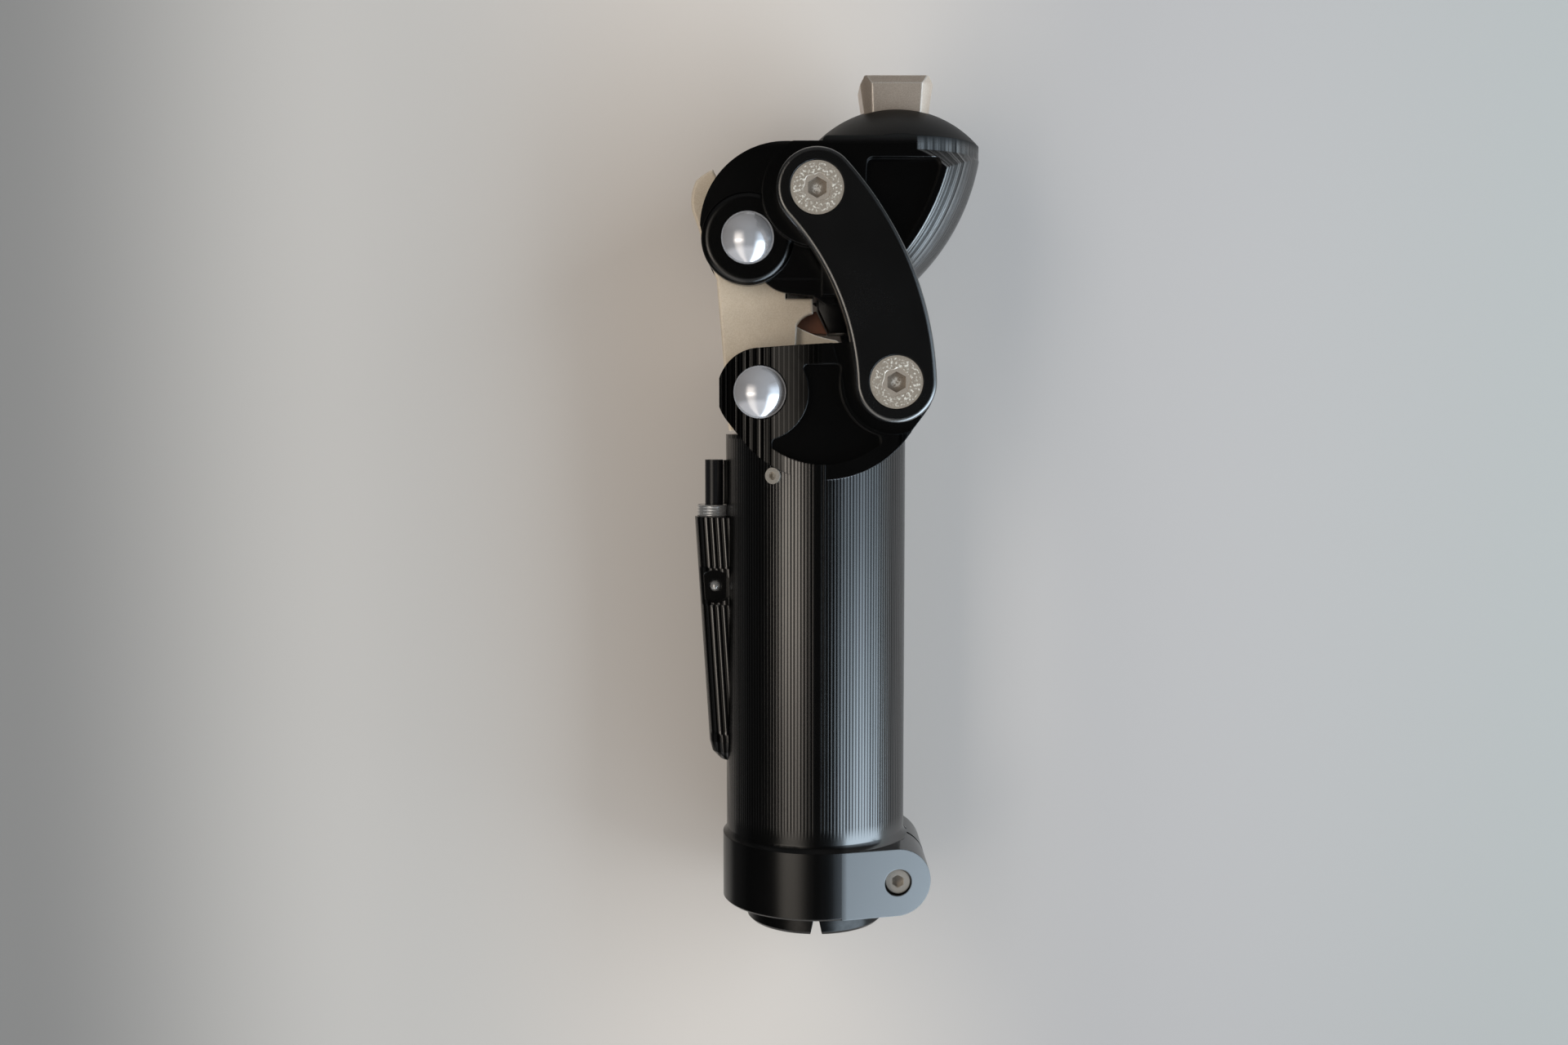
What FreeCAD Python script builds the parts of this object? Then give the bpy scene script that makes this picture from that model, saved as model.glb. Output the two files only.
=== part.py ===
import FreeCAD, Part
import math
import os

from FreeCAD import Vector

# Polycentric four-bar knee for a leg prosthesis, modelled fully extended.
# Millimetres. +Z runs up the tube, +X to the front of the knee, the origin is
# the centre of the clamp sleeve's bottom rim. The near side is -Y.

# Pivot axes of the four-bar linkage, all along Y: x and z of each. C and D are in the
# fork, A and B in the head; C lies a fixed height above the tube's end.
TUBE_TOP_Z = 131.0
C_X = -14.6
C_ABOVE_TUBE = 11.0
D_FROM_C = (34.3, 2.4)
A_FROM_C = (-3.1, 39.2)
B_FROM_A = (17.5, 11.3)
PIVOT_C = (C_X, TUBE_TOP_Z + C_ABOVE_TUBE)
PIVOT_D = (PIVOT_C[0] + D_FROM_C[0], PIVOT_C[1] + D_FROM_C[1])
PIVOT_A = (PIVOT_C[0] + A_FROM_C[0], PIVOT_C[1] + A_FROM_C[1])
PIVOT_B = (PIVOT_A[0] + B_FROM_A[0], PIVOT_A[1] + B_FROM_A[1])
ROD_PIN_FROM_C = (17.0, 8.5)

# Clearances.
RUNNING_GAP = 0.04
SEAT_GAP = 0.05
SIDE_GAP = 0.30
OPEN_PIVOT_GAP = 0.95

# Tube and bore.
TUBE_R = 24.0
TUBE_WALL = 5.55
BORE_R = TUBE_R - TUBE_WALL
BORE_TOP_Z = TUBE_TOP_Z - 13.0
MOUTH_R = BORE_R - 2.95

# Clamp at the tube's lower end.
BAND_R = TUBE_R + 1.0
BAND_BOTTOM_Z = 5.7
BAND_TOP_Z = 23.4
BAND_FILLET = 2.4
EAR_FACE_ANGLE = 15.0
EAR_END_X = BAND_R + 5.0
CLAMP_SLIT = 1.6
CLAMP_SLIT_TOP_Z = 27.0
CLAMP_SCREW_X = EAR_END_X - 8.7
CLAMP_SCREW_R = 2.0
CLAMP_HEAD_R = 3.4
CLAMP_HEAD_H = 4.0
CLAMP_HEAD_DEPTH = 1.2
INSERT_WALL = 0.8

# Sleeve that takes the 30 mm shank tube.
PYLON_R = BORE_R - 3.45
SLEEVE_LENGTH = 30.0
SLEEVE_SLIT = 1.2
SLEEVE_CHAMFER = 0.8

# Closing plug between the sleeve and the air cylinder.
CIRCLIP_T = 1.4
CIRCLIP_DEPTH = 1.0
PLUG_GAP = 1.6
PLUG_H = 9.0
O_RING_R = 1.1

# Cylinder liner and trunk piston.
LINER_WALL = 1.9
PISTON_H = 20.0
PISTON_CROWN_T = 5.0
PISTON_WALL = 3.0
WRIST_FROM_CROWN = 14.0
RING_H = 3.2
RING_DEPTH = 1.6
WRIST_R = 4.0
ROD_LENGTH = 42.0
ROD_HALF_T = 3.0
ROD_BUSH_WALL = 1.0
ROD_EYE_WALL = 1.6

# Return spring under the piston.
SPRING_WIRE_R = 1.1
SPRING_R = 11.0
SPRING_TURNS = 6.0
SPRING_SEAT_DEPTH = 1.2

# Fork block that carries the lower pivots.
BLOCK_HALF_W = TUBE_R - 0.1
BLOCK_CENTRE_X = 1.5
BLOCK_REAR_LENGTH = 31.5
BLOCK_FRONT_X = PIVOT_D[0] + 10.9
BLOCK_CORNER_R = 10.0
BLOCK_BASE_Z = TUBE_TOP_Z - 11.3
BELLY_ABOVE_C = 4.1
BELLY = (BLOCK_CENTRE_X, PIVOT_C[1] + BELLY_ABOVE_C)
BELLY_R = BELLY[1] - BLOCK_BASE_Z
FORK_HALF_GAP = 12.5
EAR_C_R = 11.3
EAR_D_R = 10.9
RECESS_D_R = 13.1
RECESS_D_Y = BLOCK_HALF_W - 1.9
RECESS_LEAN = 0.28
POCKET_Y = BLOCK_HALF_W - 3.7
POCKET_TOP_Z = PIVOT_C[1] + 7.1
POCKET_RIM = 3.9
POCKET_CORNER_R = 1.2
BOSS_C_R = 12.4
SEAT_C_Y = POCKET_Y
FLUTE_R = 2.4
FLUTE_DEPTH = 0.2
FLUTE_PITCH = 1.9
FLUTE_COUNT = 9

# Valve boss on the back of the tube.
VALVE_X = -TUBE_R - 3.2
VALVE_BOSS_R = 5.2
VALVE_FLARE = 24.0
VALVE_TOP_Z = TUBE_TOP_Z - 22.0
VALVE_LOW_X = -TUBE_R + 0.6
VALVE_BOTTOM_Z = 48.3
VALVE_TAIL = 5.6
VALVE_NIPPLE_R = 4.4
VALVE_NIPPLE_H = 3.1
VALVE_STEM_R = 2.45
VALVE_STEM_H = 15.2
SPOT_R = 4.4
SPOT_Z = VALVE_TOP_Z - 18.5
SPOT_Y = 3.6
BALL_R = 1.6

# Small grub screws beside the fork.
GRUB_X = -11.2
GRUB_Z = TUBE_TOP_Z - 10.3
GRUB_R = 2.1
GRUB_L = 3.2
GRUB_STANDOUT = 0.5

# Rear link.
LINK_HALF_T = 11.7
WASHER_T = 0.5
WASHER_R = 8.6
REAR_TOP_R = 11.5
REAR_LOW_R = 10.0
LOBE_R = 20.4
LOBE_FRONT_ANGLE = 116.5
SHOULDER_Z = PIVOT_A[1] - 14.9
SHOULDER_X = PIVOT_A[0] + 16.7
REAR_EDGE_X = PIVOT_C[0] + 9.1
ARM_HALF_GAP = 3.4
ARM_HALF_T = 9.0
ARM_R = 5.8
ROD_PIN_R = 3.0
REAR_LINK_EDGE = 0.7

# Axles, bushes and their screws.
REAR_AXLE_R = 5.0
REAR_BUSH_WALL = 1.5
REAR_BUSH_L = 9.0
DOME_HEAD_R = 6.7
DOME_HEAD_H = 3.4
DOME_SCREW_RIM_H = 0.8
DOME_SCREW_STEP = 0.45
DOME_SHANK_R = 3.0
DOME_SHANK_L = 9.0
FRONT_AXLE_R = 5.0
FRONT_BUSH_WALL = 1.5
COUNTERSUNK_R = 6.65
COUNTERSUNK_SHANK_R = 3.0
COUNTERSUNK_SHANK_L = 12.0
HEX_R = 2.3
HEX_DEPTH = 2.2

# Front links.
FRONT_LINK_Y = RECESS_D_Y + 0.2
FRONT_LINK_T = 6.0
FRONT_LINK_HALF_W = 10.2
FRONT_LINK_BULGE = 4.6
FRONT_LINK_EDGE = 1.1

# Head.
CHEEK_INNER_Y = FORK_HALF_GAP
CHEEK_Y = 18.2
CHEEK_EDGE = 2.0
SHOULDER_Y = 17.0
NOSE_Y = 15.4
CHEEK_A_R = 11.9
CHEEK_R = 21.9
HEAD_HALF_W = FRONT_LINK_Y - 0.5
BOSS_B_R = 13.8
CROTCH_R = 21.0
ROOF_START = 3.5
HEAD_TOP_Z = PIVOT_B[1] + 13.8
CHEEK_TOP_Z = HEAD_TOP_Z - 0.6
BOSS_TOP_Z = HEAD_TOP_Z - 1.3
HEAD_LOW_Z = PIVOT_A[1] - 14.6
DOME_X = PIVOT_B[0] + 21.0
DOME_RIM_R = HEAD_HALF_W + 0.4
DOME_RIM_H = 3.5
DOME_SHOULDER_ANGLE = 30.0
DOME_R = 29.2
BLOCK_START_X = PIVOT_B[0] + 1.4
BLOCK_START_R = 1.5
# The head's front: its outline is one arc, and its plan at every height another.
FRONT_ARC_X = PIVOT_B[0] - 13.1
FRONT_ARC_Z = PIVOT_B[1] + 20.1
FRONT_ARC_R = 57.2
FRONT_PLAN_R = 29.5
FRONT_SECTIONS = 8
HEAD_POCKET_DEPTH = 3.2
HEAD_POCKET_RIM = 1.6
HEAD_POCKET_TOP_Z = HEAD_TOP_Z - 5.3
HEAD_POCKET_CORNER_R = 1.6
STOP_ANGLE = -40.5
STOP_INNER_R = 13.2
STOP_TOP_Z = PIVOT_A[1] - 6.2
BUMPER_T = 2.4

# Pyramid adapter on the dome.
PYRAMID_HALF_W = 9.5
PYRAMID_SLOPE = 8.5
PYRAMID_FACE_H = 8.3
PYRAMID_CHAMFER = 1.1
PYRAMID_CHAMFER_H = 2.1
PYRAMID_BASE_Z = HEAD_TOP_Z + 7.2
PYRAMID_WIDE_Z = PYRAMID_BASE_Z + PYRAMID_FACE_H
PYRAMID_TOP_Z = PYRAMID_WIDE_Z + PYRAMID_CHAMFER_H
PYRAMID_SEAT_Z = HEAD_TOP_Z + 4.7
PYRAMID_NECK_R = 6.4
PYRAMID_CORNER_R = 11.5
PYRAMID_STEM_Z = HEAD_TOP_Z - 5.3
PYRAMID_STEM_R = 5.0
BOLT_R = 4.0
BOLT_HEAD_R = 6.3
BOLT_HEAD_H = 6.0
BOLT_HEAD_Z = HEAD_TOP_Z - 16.3


def point(x, z, y=0.0):
    return Vector(x, y, z)


def polar(centre, radius, degrees, y=0.0):
    """Point at a radius and an angle about a Y axis."""
    a = math.radians(degrees)
    return Vector(centre[0] + radius * math.cos(a), y, centre[1] + radius * math.sin(a))


def beside(centre, dx, dz):
    """Point seen from a pivot."""
    return Vector(centre[0] + dx, 0, centre[1] + dz)


def line(a, b):
    return Part.LineSegment(a, b).toShape()


def arc(a, middle, b):
    return Part.Arc(a, middle, b).toShape()


def plate(edges, y0, y1):
    """Solid from a closed outline in the XZ plane, between two Y values."""
    wire = Part.Wire(Part.__sortEdges__(edges))
    solid = Part.Face(wire).extrude(Vector(0, y1 - y0, 0))
    solid.translate(Vector(0, y0, 0))
    return solid


def polygon_plate(points, y0, y1):
    corners = [point(x, z) for x, z in points]
    edges = [line(a, b) for a, b in zip(corners, corners[1:] + corners[:1])]
    return plate(edges, y0, y1)


def across(centre, radius, y0, y1):
    """Cylinder along Y."""
    base = Vector(centre[0], min(y0, y1), centre[1])
    return Part.makeCylinder(radius, abs(y1 - y0), base, Vector(0, 1, 0))


def upright(x, y, radius, z0, z1):
    """Cylinder along Z."""
    return Part.makeCylinder(radius, z1 - z0, Vector(x, y, z0))


def box(x0, x1, y0, y1, z0, z1):
    return Part.makeBox(x1 - x0, y1 - y0, z1 - z0, Vector(x0, y0, z0))


def mirrored(shape):
    return shape.mirror(Vector(0, 0, 0), Vector(0, 1, 0))


def both_sides(shape):
    return shape.fuse(mirrored(shape))


def pair(shape):
    """Two separate solids, one on each side."""
    return Part.makeCompound([shape, mirrored(shape)])


def export(shape, node):
    solids = shape.Solids
    body = solids[0] if len(solids) == 1 else Part.makeCompound(solids)
    body.exportStep("parts/" + node + ".step")


def edges_at_y(shape, y):
    """Edges that lie in one plane across the knee."""
    found = []
    for edge in shape.Edges:
        if all(abs(vertex.Y - y) < 1e-4 for vertex in edge.Vertexes):
            if abs(middle_of(edge).y - y) < 1e-4:
                found.append(edge)
    return found


ROD_PIN = (PIVOT_C[0] + ROD_PIN_FROM_C[0], PIVOT_C[1] + ROD_PIN_FROM_C[1])
WRIST_Z = ROD_PIN[1] - math.sqrt(ROD_LENGTH ** 2 - ROD_PIN[0] ** 2)
LINER_IN_R = BORE_R - SEAT_GAP - LINER_WALL
PISTON_R = LINER_IN_R - RUNNING_GAP - 0.02
PISTON_Z = WRIST_Z - WRIST_FROM_CROWN
RING_Z = (PISTON_Z + 1.8, PISTON_Z + PISTON_H - RING_H - 0.6)
PLUG_Z = SLEEVE_LENGTH + PLUG_GAP + CIRCLIP_T
PLUG_TOP_Z = PLUG_Z + PLUG_H
CLAMP_Z = (BAND_BOTTOM_Z + BAND_TOP_Z) / 2
ROD_EYE_R = ROD_PIN_R + ROD_BUSH_WALL + ROD_EYE_WALL
INSERT_R = CLAMP_SCREW_R + INSERT_WALL
EAR_SIN = math.sin(math.radians(EAR_FACE_ANGLE))
EAR_COS = math.cos(math.radians(EAR_FACE_ANGLE))
EAR_FACE_Y = (BAND_R - CLAMP_SCREW_X * EAR_SIN) / EAR_COS
HEAD_SEAT_Y = EAR_FACE_Y - CLAMP_HEAD_DEPTH - CLAMP_HEAD_H
VALVE_STEM_TOP_Z = VALVE_TOP_Z + VALVE_STEM_H


def fork_block():
    """Milled block with a half-elliptic back and rounded front corners."""
    top_z = PIVOT_D[1] + EAR_D_R + 4
    half = BLOCK_HALF_W
    straight_x = BLOCK_FRONT_X - BLOCK_CORNER_R
    corner = BLOCK_CORNER_R * (1 - math.sqrt(0.5))
    major = Vector(BLOCK_CENTRE_X - BLOCK_REAR_LENGTH, 0, 0)
    side = Vector(BLOCK_CENTRE_X, half, 0)
    middle = Vector(BLOCK_CENTRE_X, 0, 0)
    ellipse = Part.Ellipse(major, side, middle)
    back = Part.ArcOfEllipse(ellipse, -math.pi / 2, math.pi / 2).toShape()
    near = Vector(straight_x, -half, 0)
    far = Vector(straight_x, half, 0)
    near_end = Vector(BLOCK_FRONT_X, -half + BLOCK_CORNER_R, 0)
    far_end = Vector(BLOCK_FRONT_X, half - BLOCK_CORNER_R, 0)
    near_mid = Vector(BLOCK_FRONT_X - corner, -half + corner, 0)
    far_mid = Vector(BLOCK_FRONT_X - corner, half - corner, 0)
    edges = [
        back,
        line(Vector(BLOCK_CENTRE_X, -half, 0), near),
        arc(near, near_mid, near_end),
        line(near_end, far_end),
        arc(far_end, far_mid, far),
        line(far, side),
    ]
    plan = Part.Face(Part.Wire(Part.__sortEdges__(edges)))
    plan.translate(Vector(0, 0, BLOCK_BASE_Z - 1))
    column = plan.extrude(Vector(0, 0, top_z - BLOCK_BASE_Z + 1))
    return column.common(fork_profile())


def tangent_point(centre_a, radius_a, centre_b, radius_b, side):
    """Ends of the outer tangent of two circles, on the side of the given sign."""
    dx = centre_b[0] - centre_a[0]
    dz = centre_b[1] - centre_a[1]
    distance = math.hypot(dx, dz)
    heading = math.atan2(dz, dx)
    lean = math.acos((radius_a - radius_b) / distance)
    angle = math.degrees(heading + side * lean)
    return polar(centre_a, radius_a, angle), polar(centre_b, radius_b, angle)


def fork_profile():
    """Side view of the block: two ear rounds above one round belly."""
    rear_ear, belly_rear = tangent_point(PIVOT_C, EAR_C_R, BELLY, BELLY_R, -1)
    belly_front, front_ear = tangent_point(BELLY, BELLY_R, PIVOT_D, EAR_D_R, -1)
    rear_top = polar(PIVOT_C, EAR_C_R, 97)
    front_top = polar(PIVOT_D, EAR_D_R, 88)
    edges = [
        arc(rear_top, polar(PIVOT_C, EAR_C_R, 170), rear_ear),
        line(rear_ear, belly_rear),
        arc(belly_rear, polar(BELLY, BELLY_R, -90), belly_front),
        line(belly_front, front_ear),
        arc(front_ear, polar(PIVOT_D, EAR_D_R, 0), front_top),
        line(front_top, rear_top),
    ]
    return plate(edges, -BLOCK_HALF_W - 1, BLOCK_HALF_W + 1)


def side_pocket():
    """Relief in the block's face between the round boss of C and the recess of D."""
    outer = BLOCK_HALF_W + 1
    field = box(PIVOT_C[0] + 3, PIVOT_D[0] - 3.5, POCKET_Y, outer, BLOCK_BASE_Z, POCKET_TOP_Z)
    field = field.common(across(BELLY, BELLY_R - POCKET_RIM, POCKET_Y, outer))
    field = field.cut(across(PIVOT_C, BOSS_C_R, POCKET_Y - 1, outer + 1))
    field = field.cut(across(PIVOT_D, RECESS_D_R + 0.9, POCKET_Y - 1, outer + 1))
    return field.makeFillet(POCKET_CORNER_R, edges_along_y(field))


def edges_along_y(shape):
    """Straight edges that run across the knee."""
    found = []
    for edge in shape.Edges:
        if len(edge.Vertexes) == 2:
            a, b = edge.Vertexes
            if math.hypot(a.X - b.X, a.Z - b.Z) < 1e-4:
                found.append(edge)
    return found


def ear_flutes():
    """Shallow upright grooves that the cutter leaves on the curved rear ear."""
    cutters = []
    for k in range(FLUTE_COUNT):
        x = BLOCK_CENTRE_X - BLOCK_REAR_LENGTH + FLUTE_PITCH * (k + 1.2)
        share = (BLOCK_CENTRE_X - x) / BLOCK_REAR_LENGTH
        y = BLOCK_HALF_W * math.sqrt(1 - share ** 2)
        outward = Vector(-share / BLOCK_REAR_LENGTH, math.sqrt(1 - share ** 2) / BLOCK_HALF_W, 0)
        centre = Vector(x, y, 0) + outward.normalize() * (FLUTE_R - FLUTE_DEPTH)
        cutters.append(upright(centre.x, centre.y, FLUTE_R, BLOCK_BASE_Z, PIVOT_C[1] + EAR_C_R + 1))
    return cutters


def valve_section(x, radius, z):
    """Closed outline of the valve boss at one height: round nose, flaring to the tube."""
    a = math.radians(90 + VALVE_FLARE)
    nose = Vector(x - radius, 0, z)
    near = Vector(x + radius * math.cos(a), -radius * math.sin(a), z)
    far = Vector(near.x, -near.y, z)
    inner_x = -TUBE_R + 8.0
    spread = abs(near.y) + (inner_x - near.x) * math.tan(math.radians(VALVE_FLARE))
    near_in = Vector(inner_x, -spread, z)
    far_in = Vector(inner_x, spread, z)
    edges = [arc(near, nose, far), line(far, far_in), line(far_in, near_in), line(near_in, near)]
    return Part.Wire(edges)


def valve_boss():
    """Tapering boss on the tube's back with a rounded tail."""
    upper = valve_section(VALVE_X, VALVE_BOSS_R, VALVE_TOP_Z)
    lower = valve_section(VALVE_LOW_X, VALVE_BOSS_R, VALVE_BOTTOM_Z)
    boss = Part.makeLoft([upper, lower], True, True)
    for k in range(3):
        above = valve_tail_section(k / 3)
        below = valve_tail_section((k + 1) / 3)
        boss = boss.fuse(Part.makeLoft([above, below], True, True))
    centre = Vector(VALVE_X + 0.4, 0, SPOT_Z)
    for side in (-1, 1):
        start = centre + Vector(0, side * SPOT_Y, 0)
        boss = boss.cut(Part.makeCylinder(SPOT_R, TUBE_R / 2, start, Vector(0, side, 0)))
        boss = boss.cut(Part.makeCylinder(BALL_R + SEAT_GAP, SPOT_Y + 0.4, centre, Vector(0, side, 0)))
    return boss


def valve_tail_section(share):
    """Section of the boss's rounded tail, from its start at 0 to the tube at 1."""
    a = math.radians(90 * share)
    x = VALVE_LOW_X + VALVE_TAIL * (1 - math.cos(a))
    return valve_section(x, VALVE_BOSS_R, VALVE_BOTTOM_Z - VALVE_TAIL * math.sin(a))


def clamp_band():
    """Thick ring at the tube's foot, blended up into the tube."""
    band_r = BAND_R
    blend_z = BAND_TOP_Z + BAND_FILLET
    profile = [
        line(Vector(0, 0, BAND_BOTTOM_Z), Vector(band_r - 0.5, 0, BAND_BOTTOM_Z)),
        line(Vector(band_r - 0.5, 0, BAND_BOTTOM_Z), Vector(band_r, 0, BAND_BOTTOM_Z + 0.5)),
        line(Vector(band_r, 0, BAND_BOTTOM_Z + 0.5), Vector(band_r, 0, BAND_TOP_Z)),
        arc(
            Vector(band_r, 0, BAND_TOP_Z),
            Vector(TUBE_R + 0.18, 0, BAND_TOP_Z + BAND_FILLET * 0.45),
            Vector(TUBE_R, 0, blend_z),
        ),
        line(Vector(TUBE_R, 0, blend_z), Vector(0, 0, blend_z)),
        line(Vector(0, 0, blend_z), Vector(0, 0, BAND_BOTTOM_Z)),
    ]
    face = Part.Face(Part.Wire(profile))
    return face.revolve(Vector(0, 0, 0), Vector(0, 0, 1), 360)


def clamp_ears():
    """Two ears in front of the band, their outer faces tangent to it."""
    end_r = (BAND_TOP_Z - BAND_BOTTOM_Z) / 2
    centre = (EAR_END_X - end_r, CLAMP_Z)
    side_view = box(0, centre[0], -BAND_R, BAND_R, BAND_BOTTOM_Z, BAND_TOP_Z)
    side_view = side_view.fuse(across(centre, end_r, -BAND_R, BAND_R))
    touch = Vector(BAND_R * EAR_SIN, BAND_R * EAR_COS, 0)
    reach = EAR_END_X + 1 - touch.x
    end_y = touch.y - reach * EAR_SIN / EAR_COS
    corners = [
        Vector(0, 0, 0),
        Vector(touch.x, -touch.y, 0),
        Vector(touch.x + reach, -end_y, 0),
        Vector(touch.x + reach, end_y, 0),
        Vector(touch.x, touch.y, 0),
        Vector(0, 0, 0),
    ]
    plan = Part.Face(Part.makePolygon(corners))
    return side_view.common(plan.extrude(Vector(0, 0, BAND_TOP_Z + 1)))


def clamp_cuts():
    """Slit, counterbore and screw hole of the clamp."""
    axis = (CLAMP_SCREW_X, CLAMP_Z)
    slit = box(0, EAR_END_X + 1, -CLAMP_SLIT / 2, CLAMP_SLIT / 2, 0, CLAMP_SLIT_TOP_Z)
    relief = across((TUBE_R - 1, CLAMP_SLIT_TOP_Z), 1.6, -CLAMP_SLIT / 2, CLAMP_SLIT / 2)
    screw = across(axis, CLAMP_SCREW_R + 0.2, -BAND_R, 0)
    counterbore = across(axis, CLAMP_HEAD_R + 0.15, -BAND_R - 1, -HEAD_SEAT_Y)
    thread = across(axis, INSERT_R + SEAT_GAP, CLAMP_SLIT / 2, BAND_R)
    return [slit, relief, screw, counterbore, thread]


def lower_axle_bores():
    """Bores of the two lower axles through the ears, with their seats."""
    rear = across(PIVOT_C, REAR_AXLE_R + SEAT_GAP, -BLOCK_HALF_W - 1, BLOCK_HALF_W + 1)
    seat = across(PIVOT_C, DOME_HEAD_R + 0.25, SEAT_C_Y, BLOCK_HALF_W + 1)
    front_r = FRONT_AXLE_R + FRONT_BUSH_WALL + SEAT_GAP
    front = across(PIVOT_D, front_r, -BLOCK_HALF_W - 1, BLOCK_HALF_W + 1)
    recess = across(PIVOT_D, RECESS_D_R, RECESS_D_Y, BLOCK_HALF_W + 1)
    wall_x = PIVOT_D[0] - RECESS_D_R
    top_z = PIVOT_D[1] + EAR_D_R + 5
    lean = (top_z - PIVOT_D[1]) * RECESS_LEAN
    corners = [
        (wall_x, PIVOT_D[1]),
        (BLOCK_FRONT_X + 1, PIVOT_D[1]),
        (BLOCK_FRONT_X + 1, top_z),
        (wall_x - lean, top_z),
    ]
    above = polygon_plate(corners, RECESS_D_Y, BLOCK_HALF_W + 1)
    return [rear, both_sides(seat), front, both_sides(recess), both_sides(above)]


def fork_gap():
    """Slot between the fork's ears, open at the front, back and top."""
    reach = BLOCK_REAR_LENGTH + BLOCK_FRONT_X
    high = PIVOT_D[1] + EAR_D_R + 10
    return box(-reach, reach, -FORK_HALF_GAP, FORK_HALF_GAP, TUBE_TOP_Z, high)


def main_housing():
    """Tube, clamp, fork and valve boss, milled from one billet."""
    body = upright(0, 0, TUBE_R, BAND_TOP_Z, TUBE_TOP_Z)
    body = body.fuse([clamp_band(), clamp_ears(), fork_block(), valve_boss()])
    cuts = [
        upright(0, 0, BORE_R, 0, BORE_TOP_Z),
        upright(0, 0, MOUTH_R, BORE_TOP_Z - 1, TUBE_TOP_Z + 30),
        fork_gap(),
        side_pocket(),
        mirrored(side_pocket()),
    ]
    cuts += ear_flutes()
    cuts += [mirrored(cutter) for cutter in ear_flutes()]
    cuts += clamp_cuts()
    cuts += lower_axle_bores()
    cuts.append(upright(VALVE_X, 0, VALVE_STEM_R + RUNNING_GAP, VALVE_TOP_Z - 14, VALVE_TOP_Z + 1))
    cuts.append(upright(VALVE_X, 0, VALVE_NIPPLE_R * 0.85, VALVE_TOP_Z - 6, VALVE_TOP_Z + 1))
    pocket_top = VALVE_TOP_Z + VALVE_NIPPLE_H + 0.6
    cuts.append(upright(VALVE_X, 0, VALVE_NIPPLE_R + 0.25, VALVE_TOP_Z, pocket_top))
    for side in (-1, 1):
        start = Vector(0, 0, GRUB_Z)
        cuts.append(Part.makeCylinder(GRUB_R + SEAT_GAP, TUBE_R + 2, start, grub_direction(side)))
    body = body.cut(cuts)
    body = body.cut(upright(0, 0, BORE_R, 0, BORE_TOP_Z))
    return body.cut(ring(BORE_R - 1, BORE_R + CIRCLIP_DEPTH, PLUG_Z - CIRCLIP_T, PLUG_Z))


def grub_direction(side):
    """The grub screws stand square to the tube's surface."""
    y = math.sqrt(TUBE_R ** 2 - GRUB_X ** 2)
    outward = Vector(GRUB_X, side * y, 0)
    return outward.normalize()


def grub_screws():
    screws = []
    for side in (-1, 1):
        outward = grub_direction(side)
        foot = Vector(0, 0, GRUB_Z) + outward * (TUBE_R + GRUB_STANDOUT - GRUB_L)
        screw = Part.makeCylinder(GRUB_R, GRUB_L, foot, outward)
        socket = Part.makeCylinder(GRUB_R * 0.5, GRUB_L * 0.6, foot + outward * GRUB_L * 0.5, outward)
        screws.append(screw.cut(socket))
    return Part.makeCompound(screws)


def clamp_sleeve():
    """Split reducing sleeve between the clamp and the shank tube."""
    outer = upright(0, 0, BORE_R - SEAT_GAP, 0, SLEEVE_LENGTH)
    outer = outer.makeChamfer(SLEEVE_CHAMFER, [e for e in outer.Edges if e.Closed and e.Vertexes[0].Z < 1])
    sleeve = outer.cut(upright(0, 0, PYLON_R, -1, SLEEVE_LENGTH + 1))
    half = SLEEVE_SLIT / 2
    slit = box(-half, half, -BORE_R - 1, 0, -1, SLEEVE_LENGTH + 1)
    flare = Part.makePolygon(
        [
            Vector(-half * 2.6, -BORE_R - 1, -0.1),
            Vector(half * 2.6, -BORE_R - 1, -0.1),
            Vector(half, -BORE_R - 1, 4.5),
            Vector(-half, -BORE_R - 1, 4.5),
            Vector(-half * 2.6, -BORE_R - 1, -0.1),
        ]
    )
    mouth = Part.Face(flare).extrude(Vector(0, BORE_R, 0))
    return sleeve.cut([slit, mouth])


def socket_screw(axis, head_r, head_h, shank_r, shank_l, hex_r, seat_y):
    """Cap screw along Y whose head sits at the -Y end; seat_y is the seat's distance."""
    head = across(axis, head_r, -seat_y - head_h, -seat_y)
    rim = [e for e in head.Edges if e.Closed and e.Vertexes[0].Y < -seat_y - head_h / 2]
    head = head.makeChamfer(0.35, rim)
    shank = across(axis, shank_r, -seat_y, -seat_y + shank_l)
    socket = hexagon(axis, hex_r, -seat_y - head_h - 0.1, -seat_y - head_h * 0.45)
    return head.fuse(shank).cut(socket)


def hexagon(axis, flat_r, y0, y1):
    """Six-sided prism along Y; flat_r is half the width across flats."""
    corner_r = flat_r / math.cos(math.radians(30))
    points = []
    for k in range(6):
        a = math.radians(60 * k + 30)
        points.append((axis[0] + corner_r * math.cos(a), axis[1] + corner_r * math.sin(a)))
    return polygon_plate(points, y0, y1)


def clamp_screw():
    axis = (CLAMP_SCREW_X, CLAMP_Z)
    length = HEAD_SEAT_Y + EAR_FACE_Y - 3
    return socket_screw(axis, CLAMP_HEAD_R, CLAMP_HEAD_H, CLAMP_SCREW_R, length, 1.5, HEAD_SEAT_Y)


def clamp_thread_insert():
    """Threaded steel bush in the far ear."""
    axis = (CLAMP_SCREW_X, CLAMP_Z)
    bush = across(axis, INSERT_R, CLAMP_SLIT / 2 + 1, EAR_FACE_Y - 1.5)
    return bush.cut(across(axis, CLAMP_SCREW_R + SEAT_GAP, 0, BAND_R))


def ring(inner_r, outer_r, z0, z1):
    return upright(0, 0, outer_r, z0, z1).cut(upright(0, 0, inner_r, z0 - 1, z1 + 1))


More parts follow.
